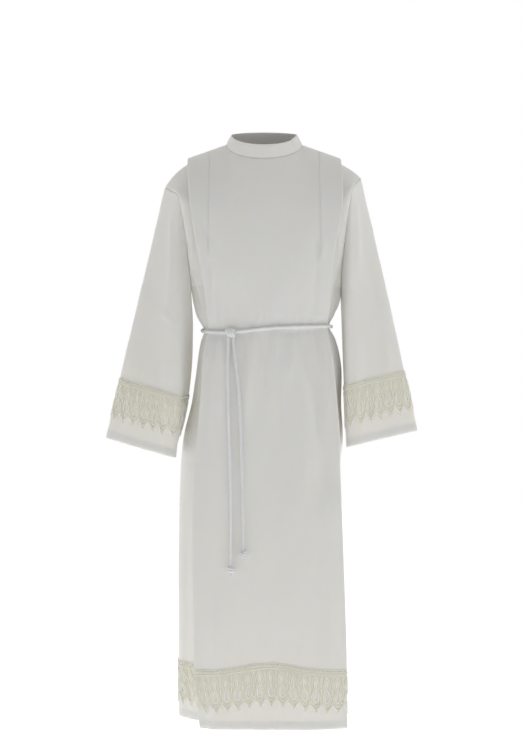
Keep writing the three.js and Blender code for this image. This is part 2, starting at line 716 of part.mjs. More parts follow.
CORD_ENDS.forEach((route, k) => {
  const points = route.map((row) => vec(row.x, row.y, row.z));
  group.add(cordTube("cincture_end_" + (k + 1), points));
  const last = points[points.length - 1];
  const centre = last.clone().add(vec(0, -1, -0.8 - END_KNOT.height / 2));
  group.add(knotBall("cincture_end_knot_" + (k + 1), centre, END_KNOT));
});

const waistV = 1 + (CHEST - WAIST) / (CHEST - HEM);
const seamPoint = (arm) => vec(read(SIDE[arm], "z", WAIST, "x"), read(SIDE[arm], "z", WAIST, "y"), WAIST);
const waistLine = [
  ...[KNOT.w, -0.2, 0.2, 0.6, 0.85, 1].map((w) => panel("front", w, waistV)),
  seamPoint("right"),
  ...[1, 0.85, 0.5, 0.1, -0.3, -0.7, -0.9, -1].map((w) => panel("back", w, waistV)),
  seamPoint("left"),
  ...[-1, -0.85].map((w) => panel("front", w, waistV)),
].map(sag);
const waistCurve = new THREE.CatmullRomCurve3(waistLine, true, "centripetal");
const CORD_CLEAR = 1.2; // the cord round the waist stands this far off the cloth at its closest
const girdle = new THREE.CatmullRomCurve3(
  waistLine.map((p, k) => {
    const along = waistCurve.getTangent(k / waistLine.length);
    return p.clone().addScaledVector(vec(along.y, -along.x, 0).normalize(), CLOTH / 2 + CORD / 2 + CORD_CLEAR);
  }),
  true,
  "centripetal",
);
const girdleLength = girdle.getLength();
const knotCentre = girdle.getPoint(0).add(vec(0, -KNOT.out, -KNOT.down));
const leaveKnot = (KNOT.width / 2 + 0.5) / girdleLength;
const girdlePoints = Array.from({ length: 49 }, (_, k) => girdle.getPointAt(mix(leaveKnot, 1 - leaveKnot, k / 48)));
group.add(cordTube("cincture_waist", girdlePoints));
group.add(knotBall("cincture_knot", knotCentre, KNOT));

export default group;
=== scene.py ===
"""A worn alb: the long white tunic with sleeves that is worn under other vestments, held in shape as on its
wearer and tied at the waist with a twisted cord. Metres, +Z up, the front faces -Y, and the origin is the middle
of the neck at the height of the shoulder seams."""
import json
import math

import bpy
import numpy as np
from mathutils import Vector
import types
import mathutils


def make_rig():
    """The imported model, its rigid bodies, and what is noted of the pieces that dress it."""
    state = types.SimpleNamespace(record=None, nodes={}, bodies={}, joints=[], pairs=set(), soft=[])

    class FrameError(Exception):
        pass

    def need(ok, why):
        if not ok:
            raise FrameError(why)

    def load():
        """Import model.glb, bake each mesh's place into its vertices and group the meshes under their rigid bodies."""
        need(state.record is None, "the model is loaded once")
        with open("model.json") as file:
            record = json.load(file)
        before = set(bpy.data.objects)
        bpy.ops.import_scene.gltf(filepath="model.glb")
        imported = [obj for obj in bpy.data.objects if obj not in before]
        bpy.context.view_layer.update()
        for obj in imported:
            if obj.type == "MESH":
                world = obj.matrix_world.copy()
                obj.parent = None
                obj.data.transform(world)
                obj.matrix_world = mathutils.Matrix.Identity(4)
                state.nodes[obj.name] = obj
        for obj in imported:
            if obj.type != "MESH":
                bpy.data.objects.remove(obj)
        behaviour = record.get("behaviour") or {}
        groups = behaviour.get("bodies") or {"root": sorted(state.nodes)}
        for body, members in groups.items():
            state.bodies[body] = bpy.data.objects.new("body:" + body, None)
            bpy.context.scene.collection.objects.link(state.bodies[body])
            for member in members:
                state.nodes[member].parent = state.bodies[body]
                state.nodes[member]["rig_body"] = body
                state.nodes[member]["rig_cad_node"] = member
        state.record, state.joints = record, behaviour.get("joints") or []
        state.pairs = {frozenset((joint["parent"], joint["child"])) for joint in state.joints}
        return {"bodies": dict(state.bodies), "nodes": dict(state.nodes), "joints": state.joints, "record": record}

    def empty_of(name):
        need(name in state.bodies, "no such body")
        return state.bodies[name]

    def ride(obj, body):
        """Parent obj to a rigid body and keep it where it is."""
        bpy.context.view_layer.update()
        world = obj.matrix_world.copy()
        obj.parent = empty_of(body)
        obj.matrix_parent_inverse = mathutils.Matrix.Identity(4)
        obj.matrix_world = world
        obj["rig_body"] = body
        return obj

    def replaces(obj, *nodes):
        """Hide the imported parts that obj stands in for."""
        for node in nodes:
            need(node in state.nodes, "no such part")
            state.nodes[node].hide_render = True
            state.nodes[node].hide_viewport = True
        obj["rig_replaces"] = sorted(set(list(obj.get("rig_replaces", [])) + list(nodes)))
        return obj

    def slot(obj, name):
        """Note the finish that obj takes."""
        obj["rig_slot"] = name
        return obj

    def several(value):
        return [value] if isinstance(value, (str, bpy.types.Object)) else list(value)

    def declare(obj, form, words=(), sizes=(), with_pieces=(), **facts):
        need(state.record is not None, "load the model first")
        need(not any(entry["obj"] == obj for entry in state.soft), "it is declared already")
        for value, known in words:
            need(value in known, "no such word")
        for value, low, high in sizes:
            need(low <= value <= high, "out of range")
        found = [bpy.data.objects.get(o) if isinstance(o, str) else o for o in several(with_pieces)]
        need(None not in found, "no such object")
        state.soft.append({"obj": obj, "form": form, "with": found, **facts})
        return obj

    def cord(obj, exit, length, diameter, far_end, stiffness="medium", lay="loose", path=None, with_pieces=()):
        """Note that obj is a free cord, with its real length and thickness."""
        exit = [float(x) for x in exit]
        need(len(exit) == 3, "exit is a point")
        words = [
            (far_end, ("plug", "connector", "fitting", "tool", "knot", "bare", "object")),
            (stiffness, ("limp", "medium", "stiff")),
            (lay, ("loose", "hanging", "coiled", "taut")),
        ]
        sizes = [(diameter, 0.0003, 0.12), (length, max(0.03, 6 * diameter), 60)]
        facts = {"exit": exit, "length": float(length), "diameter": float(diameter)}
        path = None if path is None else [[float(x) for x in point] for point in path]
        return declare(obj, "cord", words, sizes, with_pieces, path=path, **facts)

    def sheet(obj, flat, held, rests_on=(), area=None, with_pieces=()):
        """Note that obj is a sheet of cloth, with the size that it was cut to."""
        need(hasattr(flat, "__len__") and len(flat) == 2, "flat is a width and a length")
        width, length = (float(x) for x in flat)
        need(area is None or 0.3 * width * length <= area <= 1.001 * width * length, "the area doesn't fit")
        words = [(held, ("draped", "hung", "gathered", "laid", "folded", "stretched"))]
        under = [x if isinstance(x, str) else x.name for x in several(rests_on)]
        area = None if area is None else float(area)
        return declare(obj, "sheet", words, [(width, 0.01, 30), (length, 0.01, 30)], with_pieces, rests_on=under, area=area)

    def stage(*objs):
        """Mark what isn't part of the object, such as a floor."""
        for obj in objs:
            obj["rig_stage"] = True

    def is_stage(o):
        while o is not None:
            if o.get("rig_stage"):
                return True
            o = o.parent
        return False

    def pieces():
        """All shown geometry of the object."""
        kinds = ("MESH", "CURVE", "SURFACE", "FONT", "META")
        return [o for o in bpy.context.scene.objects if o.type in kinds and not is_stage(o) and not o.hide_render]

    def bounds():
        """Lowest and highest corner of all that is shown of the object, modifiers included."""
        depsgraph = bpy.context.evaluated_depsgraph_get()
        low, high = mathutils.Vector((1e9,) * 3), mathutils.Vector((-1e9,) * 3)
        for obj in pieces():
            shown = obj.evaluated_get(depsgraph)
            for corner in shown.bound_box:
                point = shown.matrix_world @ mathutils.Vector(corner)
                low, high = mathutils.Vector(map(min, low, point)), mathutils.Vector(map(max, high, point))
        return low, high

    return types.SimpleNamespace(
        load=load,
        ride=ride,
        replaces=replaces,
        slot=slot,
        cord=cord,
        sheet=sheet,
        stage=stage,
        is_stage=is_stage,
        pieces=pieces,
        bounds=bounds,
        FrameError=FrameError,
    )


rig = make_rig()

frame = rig.load()
cad_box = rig.bounds()

# Camera: it stands 3.6 m in front of the garment at hip height and looks straight at it, as the photograph's
# camera does.
def placed(name, data):
    """An object in the scene for a mesh, a lamp or a camera."""
    made = bpy.data.objects.new(name, data)
    bpy.context.collection.objects.link(made)
    return made


camera_data = bpy.data.cameras.new("camera")
camera_data.lens = 69.7
camera_data.sensor_width = 36.0
camera_data.clip_end = 50.0
camera = placed("camera", camera_data)
camera.location = (-0.0074, -3.6, -0.568)
camera.rotation_euler = (math.radians(90), 0, 0)
bpy.context.scene.camera = camera

# Studio: a pale floor under the hem, bright white behind the garment, dimmer and softer light from the front,
# and four large lamps.
bpy.context.scene.view_settings.view_transform = "Standard"
bpy.context.scene.view_settings.look = "None"
bpy.context.scene.cycles.diffuse_bounces = 12
bpy.context.scene.cycles.max_bounces = 16


def added(tree, kind, settings, *values, output=0, **named):
    """One of the outputs of a new node: settings are its properties, then come its inputs, in order or by name. A
    socket is linked and None leaves an input as it is."""
    made = tree.nodes.new(kind)
    for key, value in settings.items():
        setattr(made, key, value)
    for key, value in list(enumerate(values)) + list(named.items()):
        socket = made.inputs[key if isinstance(key, int) else key.replace("_", " ")]
        if isinstance(value, bpy.types.NodeSocket):
            tree.links.new(value, socket)
        elif value is not None:
            socket.default_value = value
    return made.outputs[output]


def colour_mix(tree, factor, one, two):
    other_kinds = [None] * 5
    return added(tree, "ShaderNodeMix", {"data_type": "RGBA"}, factor, *other_kinds, one, two, output=2)


world = bpy.data.worlds.new("studio")
bpy.context.scene.world = world
world.use_nodes = True
sky = world.node_tree
sky.nodes.clear()
behind = (0.0, 1.0, 0.25)
depth = added(sky, "ShaderNodeTexCoord", {})
depth = added(sky, "ShaderNodeVectorMath", {"operation": "DOT_PRODUCT"}, depth, behind, output=1)
depth = added(sky, "ShaderNodeMapRange", {"interpolation_type": "SMOOTHSTEP"}, depth, -0.95, 0.4, 0.0, 1.0)
light = colour_mix(sky, depth, (0.19, 0.19, 0.188, 1), (0.73, 0.718, 0.686, 1))
seen = colour_mix(sky, added(sky, "ShaderNodeLightPath", {}), light, (1.0, 1.0, 1.0, 1))
shine = added(sky, "ShaderNodeBackground", {}, seen)
sky.links.new(shine, sky.nodes.new("ShaderNodeOutputWorld").inputs["Surface"])


def lamp(name, place, aim, size, watts, colour):
    data = bpy.data.lights.new(name, "AREA")
    data.shape, data.size, data.energy, data.color = "DISK", size, watts, colour
    made = placed(name, data)
    made.location = place
    made.rotation_euler = (Vector(aim) - Vector(place)).to_track_quat("-Z", "Y").to_euler()


lamp("lamp_back", (-1.9, 3.2, 0.8), (0, 0, -0.6), 1.2, 8.0, (1.0, 0.98, 0.94))
lamp("lamp_top", (0.2, -0.8, 2.2), (0, 0, -0.1), 1.6, 6.4, (1.0, 1.0, 0.99))
lamp("lamp_left", (-3.0, -1.5, 0.9), (0, 0, -0.7), 0.9, 2.0, (1.0, 0.995, 0.98))
lamp("lamp_right", (3.0, -1.3, 0.7), (0, 0, -0.7), 0.9, 5.0, (0.98, 0.99, 1.0))

FLOOR, FLOOR_HALF = -1.52, 7.0  # height and half width, metres
floor_mesh = bpy.data.meshes.new("floor")
corners = [(x * FLOOR_HALF, y * FLOOR_HALF, FLOOR) for x, y in ((-1, -1), (1, -1), (1, 1), (-1, 1))]
floor_mesh.from_pydata(corners, [], [(0, 1, 2, 3)])
floor = placed("floor", floor_mesh)
floor_finish = bpy.data.materials.new("pale_floor")
floor_finish.use_nodes = True
floor_shader = floor_finish.node_tree.nodes["Principled BSDF"].inputs
floor_shader["Base Color"].default_value = (0.86, 0.86, 0.86, 1)
floor_shader["Roughness"].default_value = 0.9
floor_shader["Emission Color"].default_value = (1, 1, 1, 1)
floor_shader["Emission Strength"].default_value = 0.65
floor_mesh.materials.append(floor_finish)
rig.stage(floor)

# Body and sleeves: plain-woven white cloth. The front and the back are each one width, with a deep pleat at
# either side that is laid in under the middle panel from the shoulder seam down to the hem, and a wide sleeve
# is sewn into each dropped armhole.
CHEST, UNDERARM, WAIST, HEM = -200.0, -350.0, -454.0, -1416.0  # heights, mm
NECK = {"half": 93, "front": 78, "back": 62, "side": 3, "front_drop": 45, "back_rise": 9}
SHOULDER = {"slope": 0.355, "y": 2, "left": -189, "right": 190}
MM = 0.001  # metres
CLOTH_WALL = 0.9 * MM
SIDES, ARMS = ("front", "back"), ("left", "right")
OUTWARD = {"front": True, "back": False, "left": True, "right": False}  # rows then columns turn outwards

# Upright centre panels between their pleat edges, in millimetres: height, left and right edge, Y in the middle
# and Y at the edges.
PANEL = {
    "front": np.array([
        (-200, -173, 184, -110, -93), (-252, -164, 174, -113, -95), (-300, -155, 167, -113, -93),
        (-365, -145, 162, -109, -86), (-425, -138, 158, -102, -76), (-454, -137, 155, -97, -70),
        (-484, -143, 160, -101, -77), (-540, -149, 169, -107, -88), (-600, -152, 174, -110, -94),
        (-700, -161, 182, -114, -98), (-790, -169, 184, -117, -100), (-900, -174, 188, -120, -102),
        (-1010, -174, 192, -123, -104), (-1230, -170, 199, -129, -107), (-1330, -166, 200, -131, -108),
        (-1416, -155, 201, -133, -109),
    ], float),
    "back": np.array([
        (-200, -172, 172, 114, 96), (-300, -160, 162, 113, 93), (-425, -146, 150, 93, 71),
        (-454, -143, 147, 86, 62), (-484, -148, 152, 93, 72), (-600, -160, 164, 118, 97),
        (-790, -172, 175, 130, 106), (-1010, -178, 183, 139, 112), (-1416, -182, 188, 150, 120),
    ], float),
}
# Pleats: height, how far each goes in under its panel, and how far behind the panel its inner fold lies.
PLEAT = np.array([
    (0, 36, 9), (-200, 42, 19), (-350, 46, 22), (-425, 42, 13), (-454, 38, 10), (-484, 42, 14),
    (-600, 52, 30), (-790, 60, 48), (-1010, 64, 62), (-1416, 66, 74),
], float)
# Side seams below the underarm: height, X, Y.
SIDE = {
    "left": np.array([
        (-350, -181, 0), (-385, -174, 0), (-425, -163, 0), (-454, -147, 0), (-484, -156, 3), (-570, -169, 14),
        (-640, -180, 22), (-717, -199, 30), (-828, -209, 40), (-1225, -213, 54), (-1416, -213, 58),
    ], float),
    "right": np.array([
        (-350, 189, 0), (-385, 186, 0), (-425, 172, 0), (-454, 160, 0), (-484, 177, 3), (-543, 191, 10),
        (-640, 192, 20), (-732, 196, 28), (-782, 190, 32), (-840, 187, 36), (-1250, 193, 46), (-1416, 195, 50),
    ], float),
}
# Sleeves from the armhole (0) to the cuff (1): outer edge, front fold, inner edge and back of each section,
# and how far the wall rounds out between them.
SLEEVE = {
    "left": np.array([
        (0, -246, 4, -105, -206, -62, -143, -181, 0, -350, -210, 64, -148, 10, 30, 30, 10),
        (0.3, -289, 1, -290, -210, -69, -330, -177, 12, -474, -236, 72, -327, 9, 17, 22, 12),
        (0.7, -347, -3, -538, -208, -72, -580, -193, 25, -640, -272, 74, -566, 8, 9, 15, 14),
        (1, -390, -6, -723, -223, -66, -767, -226, 20, -762, -304, 68, -745, 8, 6, 12, 14),
    ], float),
    "right": np.array([
        (0, 240, 4, -80, 211, -62, -130, 189, 0, -350, 212, 64, -132, 10, 30, 30, 10),
        (0.3, 283, 1, -268, 207, -68, -318, 195, 12, -470, 238, 72, -308, 9, 17, 22, 12),
        (0.7, 338, -3, -518, 204, -70, -562, 206, 28, -628, 270, 74, -548, 8, 9, 15, 14),
        (1, 378, -6, -705, 209, -64, -741, 215, 22, -746, 298, 68, -728, 8, 6, 12, 14),
    ], float),
}
# Soft folds of each panel: top and bottom height, X at the top and the bottom, height out of the panel, width.
FOLDS = {
    "front": [
        (-190, -430, -133, -116, -4, 20), (-470, -1420, 88, 118, 5, 26), (-470, -900, 122, 150, -5, 24),
        (-470, -1420, -96, -112, 4, 28), (-560, -1420, 10, 26, -6, 44), (-820, -1420, 150, 168, 4, 26),
    ],
    "back": [
        (-240, -440, 62, 44, 5, 24), (-240, -440, -60, -42, 5, 24), (-470, -1420, -84, -122, 7, 30),
        (-470, -1420, 0, 6, 7, 34), (-470, -1420, 82, 126, 7, 30), (-470, -1000, -42, -58, -6, 22),
        (-470, -1000, 42, 58, -6, 22),
    ],
}


def mix(a, b, t):
    return a + (b - a) * t


def bell(x):
    return np.exp(-np.square(x))


def ease(x):
    x = np.clip(x, 0, 1)
    return x * x * (3 - 2 * x)


def unit(vectors):
    return vectors / np.maximum(np.linalg.norm(vectors, axis=-1, keepdims=True), 1e-12)


def hermite(start, leave, end, arrive, t):
    """A smooth curve between two places, with the directions in which it leaves and arrives."""
    t2, t3 = t * t, t * t * t
    return (
        (2 * t3 - 3 * t2 + 1) * start + (t3 - 2 * t2 + t) * leave + (3 * t2 - 2 * t3) * end + (t3 - t2) * arrive
    )


def read(rows, at, column):
    """One column of a table at the given keys, by a smooth curve through its rows."""
    keys, values, at = rows[:, 0], rows[:, column], np.asarray(at, float)
    if keys[0] > keys[-1]:
        keys, at = -keys, -at
    at = np.clip(at, keys[0], keys[-1])
    i = np.clip(np.searchsorted(keys, at, side="left") - 1, 0, len(keys) - 2)
    span = np.diff(keys)
    slope = np.diff(values) / span
    slope = np.concatenate([slope[:1], (slope[:-1] + slope[1:]) / 2, slope[-1:]])
    return hermite(values[i], slope[i] * span[i], values[i + 1], slope[i + 1] * span[i], (at - keys[i]) / span[i])


def height_of(v):
    return CHEST - (v - 1) * (CHEST - HEM)


def w_of(x):
    """How far across the panels X lies at the shoulder, from -1 to 1."""
    return 2 * (x - SHOULDER["left"]) / (SHOULDER["right"] - SHOULDER["left"]) - 1


def folds(side, x, z):
    total = np.zeros(np.broadcast(x, z).shape)
    for top_z, bottom_z, top_x, bottom_x, height, width in FOLDS[side]:
        along = (top_z - z) / (top_z - bottom_z)
        last = 1 if bottom_z <= HEM else (1 - along) * 4
        fade = ease(np.minimum(np.minimum(1, along * 6), last))
        total += height * fade * bell((x - mix(top_x, bottom_x, np.clip(along, 0, 1))) / width)
    return -total if side == "front" else total


def section(side, w, z):
    rows = PANEL[side]
    w, z = np.broadcast_arrays(np.asarray(w, float), np.asarray(z, float))
    x = mix(read(rows, z, 1), read(rows, z, 2), (w + 1) / 2)
    y = mix(read(rows, z, 3), read(rows, z, 4), w * w)
    return np.stack([x, y + folds(side, x, z), z], axis=-1)


def top_edge(side, w):
    x = mix(SHOULDER["left"], SHOULDER["right"], (np.asarray(w, float) + 1) / 2)
    out = np.abs(x) - NECK["half"]
    opening = np.sqrt(np.clip(1 - (x / NECK["half"]) ** 2, 0, 1))
    depth, lift = (-NECK["front"], -NECK["front_drop"]) if side == "front" else (NECK["back"], NECK["back_rise"])
    y = np.where(out >= 0, SHOULDER["y"], mix(SHOULDER["y"], depth, opening))
    z = np.where(out >= 0, NECK["side"] - out * SHOULDER["slope"], NECK["side"] + lift * opening)
    return np.stack([x, y, z], axis=-1), np.where(out >= 0, 0.0, opening)


def panel(side, w, v):
    """A panel's surface: w from -1 to 1 between its pleat edges, v from 0 at the shoulder through 1 at the
    chest to 2 at the hem."""
    w, v = np.broadcast_arrays(np.asarray(w, float), np.asarray(v, float))
    low = section(side, w, height_of(np.maximum(v, 1)))
    start, opening = top_edge(side, w)
    end = section(side, w, np.full(w.shape, CHEST))
    below = section(side, w, np.full(w.shape, CHEST - 1)) - end
    zero = np.zeros(w.shape)
    forward = -mix(150, 60, opening) if side == "front" else mix(150, 110, opening)
    leave = np.stack([zero, forward, -mix(20, 130 if side == "front" else 90, opening**0.4)], axis=-1)
    arrive = below * mix(220, 170, opening)[..., None]
    t = v[..., None]
    return np.where(t >= 1, low, hermite(start, leave, end, arrive, t))


def sleeve_ring(arm, t, q):
    """Points of a sleeve: q is 0 at the outer edge, 0.25 at the front fold, 0.5 inside and 0.75 at the back."""
    t, q = np.broadcast_arrays(np.asarray(t, float), np.asarray(q, float))
    rows = SLEEVE[arm]
    corners = [np.stack([read(rows, t, 1 + 3 * c + k) for k in range(3)], axis=-1) for c in range(4)]
    middle = sum(corners) / 4
    points = []
    for c in range(4):
        half = (corners[c] + corners[(c + 1) % 4]) / 2
        points += [corners[c], half + unit(half - middle) * read(rows, t, 13 + c)[..., None]]
    points = np.stack(points)
    place = (q % 1) * 8
    i = np.floor(place).astype(int) % 8
    s = (place - np.floor(place))[..., None]
    a, b, c, d = (np.take_along_axis(points, ((i + k) % 8)[None, ..., None], axis=0)[0] for k in (-1, 0, 1, 2))
    return hermite(b, (c - a) / 2, c, (d - b) / 2, s)


CORD_TILT, BACK_RISE = 0.03, 4.0  # the cord rides up towards the right, and behind


def knot_pull(x, y):
    """How far the knot in front pulls the cord down, and the cloth with it."""
    return np.where(y < -30, 8 * bell((x + 84) / 70), 0)


def sag(grid):
    """The cloth at the waist follows the cord."""
    x, y, z = np.moveaxis(grid, -1, 0)
    z += bell((z - WAIST) / 38) * (CORD_TILT * x - knot_pull(x, y) + np.where(y > 0, BACK_RISE, 0))
    return grid


# Rows of the body: down the armhole in equal steps, then down the side seam, closest about the waist.
ARMHOLE_STEPS = 48
HEM_ROWS = [-1392.5, -1396.5, -1398.0, -1399.5, -1403.5, -1410.0, HEM]
armhole_g = np.arange(ARMHOLE_STEPS + 1) / ARMHOLE_STEPS
shoulder_v = np.array([(0, 0), (0.1, 0.13), (0.2, 0.3), (0.3, 0.5), (0.4, 0.75), (0.5, 1)], float)
armhole_z = mix(CHEST, UNDERARM, (armhole_g - 0.5) * 2)
armhole_v = np.where(armhole_g <= 0.5, read(shoulder_v, armhole_g, 1), 1 + (CHEST - armhole_z) / (CHEST - HEM))
side_z = [np.arange(-355, -530, -5.0), np.arange(-530, -700, -8.5), np.arange(-700, -1390, -11.2), HEM_ROWS]
side_z = np.concatenate(side_z)
row_v = np.concatenate([armhole_v, 1 + (CHEST - side_z) / (CHEST - HEM)])
row_z = np.where(row_v < 1, mix(0, CHEST, row_v), height_of(row_v))

FOLD = {"reach": 3.0, "rise": 2.4}
SHOULDER_CORNER = {"left": (32, 0, 58), "right": (-35, 0, 34)}
SIDE_STEPS = 24
NECK_STEPS = 64
SHOULDER_STEPS = 16


def row_ends(side, arm):
    g = np.minimum(np.arange(len(row_v)) / ARMHOLE_STEPS, 1)
    ends = sleeve_ring(arm, np.zeros(len(g)), (g / 2) if side == "front" else 1 - g / 2)
    low = np.arange(len(row_v)) > ARMHOLE_STEPS
    z = row_z
    seam = np.stack([read(SIDE[arm], z, 1), read(SIDE[arm], z, 2), z], axis=-1)
    return np.where(low[:, None], seam, ends)


def pleat(side, arm):
    """Columns from just inside the panel's edge round the outer fold, in under the panel, round the inner fold
    and out along the side to the seam."""
    w = -1.0 if arm == "left" else 1.0
    edge = panel(side, w, row_v)
    inward = unit(panel(side, w * 0.98, row_v) - edge)
    forward = np.array([0, -1.0 if side == "front" else 1.0, 0])
    down = panel(side, w, row_v + 0.01) - panel(side, w, row_v - 0.01)
    down = mix(forward, unit(down), ease(row_v / 0.13)[:, None])
    behind = unit(np.cross(down, inward))
    wrong = behind[:, 1] * (1 if side == "front" else -1) - 0.5 * behind[:, 2] < 0
    behind[wrong] *= -1
    under, depth = read(PLEAT, row_z, 1)[:, None], read(PLEAT, row_z, 2)[:, None]
    reach, rise = FOLD["reach"], FOLD["rise"]
    places = []
    for angle in np.pi * np.arange(7) / 6:
        places.append((reach * (1 - math.sin(angle)), rise * (1 - math.cos(angle))))
    for t in np.arange(1, 7) / 7:
        places.append((mix(reach, under - reach, t), mix(2 * rise, depth - rise, ease(t) * 0.6 + t * 0.4)))
    for angle in np.pi * np.arange(6) / 5:
        places.append((under - reach * (1 - math.sin(angle)), depth - rise * math.cos(angle)))
    columns = [edge + inward * a + behind * b for a, b in places]
    inner = columns[-1]
    end = row_ends(side, arm)
    lean = (np.minimum(1, row_v) ** 0.7)[:, None]
    low = np.stack([np.full(len(row_v), w), (inner - end)[:, 1] * 0.9, np.zeros(len(row_v))], axis=-1)
    corner = end + mix(np.array(SHOULDER_CORNER[arm], float), low, lean)
    for k in range(1, SIDE_STEPS + 1):
        t = k / SIDE_STEPS
        columns.append(inner * (1 - t) ** 2 + corner * 2 * t * (1 - t) + end * t * t)
    return np.stack(columns, axis=1)


def body(side):
    left, right = pleat(side, "left")[:, ::-1], pleat(side, "right")
    width = panel(side, 1.0, row_v)[:, 0] - panel(side, -1.0, row_v)[:, 0]
    inset = (1 - 2 * FOLD["reach"] / width)[:, None]
    step = 2 * np.arange(NECK_STEPS + 1) / NECK_STEPS - 1
    neck_x = NECK["half"] * mix(step, np.sin(np.pi / 2 * step), 0.6)
    neck_w = w_of(neck_x)
    out = (np.arange(1, SHOULDER_STEPS) / SHOULDER_STEPS)[None, :]
    tall = np.ones((len(row_v), 1))
    w = np.concatenate([
        mix(-inset, neck_w[0], out), tall * neck_w[None, :], mix(inset, neck_w[-1], out)[:, ::-1]
    ], axis=1)
    middle = panel(side, w, np.broadcast_to(row_v[:, None], w.shape))
    # The cloth rounds softly off the ends of the neckline, with no ridge down the chest from either of them.
    x = middle[:, :, 0]
    share = np.abs(np.gradient(x, axis=1))
    calm = ease((x - x[:, :1]) / 40) * ease((x[:, -1:] - x) / 40)
    smooth = middle.copy()
    for j in np.nonzero((row_v > 0) & (row_v < 1.25))[0]:
        width = 2 + 24 * ease(row_v[j] / 0.4) * (1 - ease((row_v[j] - 0.95) / 0.3))
        weight = bell((x[j][None] - x[j][:, None]) / width) * share[j][None]
        spread = weight @ middle[j] / weight.sum(axis=1, keepdims=True)
        smooth[j] = mix(middle[j], spread, calm[j][:, None])
    return sag(np.concatenate([left, smooth, right], axis=1))


def normals_of(key):
    """The directions out of a piece's cloth at the points of its grid."""
    grid = points[key]
    if key in ARMS:
        across = np.roll(grid, -1, axis=1) - np.roll(grid, 1, axis=1)
    else:
        across = np.gradient(grid, axis=1)
    return unit(np.cross(np.gradient(grid, axis=0), across)) * (1 if OUTWARD[key] else -1)


def lengths(points, axis):
    """How far along its row or column each point of a grid lies, or along a line of points."""
    steps = np.linalg.norm(np.diff(points, axis=axis), axis=-1)
    first = np.zeros_like(np.take(steps, [0], axis=axis))
    return np.concatenate([first, np.cumsum(steps, axis=axis)], axis=axis)


def grid_object(name, grid, outward, finish, wall=None, ring=False, uv=None, keep=None):
    """A sheet from a grid of points in millimetres, with its lengths along the cloth as its UV map, and an even
    wall about it. outward is True where rows then columns turn to the outside, and ring where the columns go
    round. A closed form has no wall, and its rows go round too. keep says which of the faces there are."""
    rows, columns = grid.shape[:2]
    wide = np.concatenate([grid, grid[:, :1]], axis=1) if ring else grid
    wide = wide if wall else np.concatenate([wide, wide[:1]])
    if uv is None:
        across = lengths(wide, 1)
        uv = np.stack([across - across[:, across.shape[1] // 2][:, None], -lengths(wide, 0)], axis=-1)
    j, i = np.indices((len(wide) - 1, wide.shape[1] - 1))
    if keep is not None:
        j, i = j[keep], i[keep]
    turn = [(0, 0), (1, 0), (1, 1), (0, 1)] if outward else [(0, 0), (0, 1), (1, 1), (1, 0)]
    quads = np.stack([(j + a) % rows * columns + (i + b) % columns for a, b in turn], axis=-1).reshape(-1, 4)
    spots = np.stack([uv[j + a, i + b] for a, b in turn], axis=-2) * MM
    mesh = bpy.data.meshes.new(name)
    mesh.from_pydata((grid.reshape(-1, 3) * MM).tolist(), [], quads.tolist())
    mesh.uv_layers.new(name="cloth").data.foreach_set("uv", spots.reshape(-1).astype(np.float32))
    mesh.polygons.foreach_set("use_smooth", np.ones(len(quads), bool))
    mesh.materials.append(finish.material)
    made = placed(name, mesh)
    if wall:
        thick = made.modifiers.new("wall", "SOLIDIFY")
        thick.thickness, thick.offset = wall, 0.0
    return made


class Amount:
    """A number inside a material, so that shader maths can be written as plain expressions."""

    def __init__(self, finish, socket):
        self.finish, self.socket = finish, socket

    def _with(self, operation, *others, clamp=False):
        return self.finish.node("ShaderNodeMath", {"operation": operation, "use_clamp": clamp}, self, *others)

    def __add__(self, other):
        return self._with("ADD", other)

    def __mul__(self, other):
        return self._with("MULTIPLY", other)

    __radd__, __rmul__ = __add__, __mul__

    def __sub__(self, other):
        return self._with("SUBTRACT", other)

    def __rsub__(self, other):
        return self.finish.node("ShaderNodeMath", {"operation": "SUBTRACT"}, other, self)

    def __gt__(self, other):
        return self._with("GREATER_THAN", other)

    def sine(self):
        return self._with("SINE")

    def size(self):
        return self._with("ABSOLUTE")

    def at_most(self, other):
        return self._with("MINIMUM", other)

    def at_least(self, other):
        return self._with("MAXIMUM", other)

    def clamped(self):
        return self._with("ADD", 0.0, clamp=True)


def socket_of(value):
    return value.socket if isinstance(value, Amount) else value


class Finish:
    """A material with a principled shader, and one way to add any other node."""

    def __init__(self, name, roughness, sheen, specular):
        self.material = bpy.data.materials.new(name)
        self.material.use_nodes = True
        self.tree = self.material.node_tree
        self.inputs = self.tree.nodes["Principled BSDF"].inputs
        self.set("Roughness", roughness)
        self.set("Sheen Weight", sheen)
        self.set("Sheen Roughness", 0.5)
        self.set("Specular IOR Level", specular)

    def set(self, name, value):
        self.inputs[name].default_value = value

    def feed(self, name, value):
        self.tree.links.new(value.socket, self.inputs[name])

    def node(self, kind, settings, *values, output=0, **named):
        values, named = map(socket_of, values), {key: socket_of(value) for key, value in named.items()}
        return Amount(self, added(self.tree, kind, settings, *values, output=output, **named))

    def place(self):
        return self.node("ShaderNodeTexCoord", {}, output=3)

    def blend(self, factor, one, two):
        return Amount(self, colour_mix(self.tree, factor.socket, one, two))

    def noise(self, where, scale, detail=2.0):
        return self.node("ShaderNodeTexNoise", {}, Vector=where, Scale=scale, Detail=detail)

    def bump(self, height, distance, strength, under=None):
        return self.node("ShaderNodeBump", {}, Height=height, Distance=distance, Strength=strength, Normal=under)


WEAVE = 0.0005  # from one thread to the next


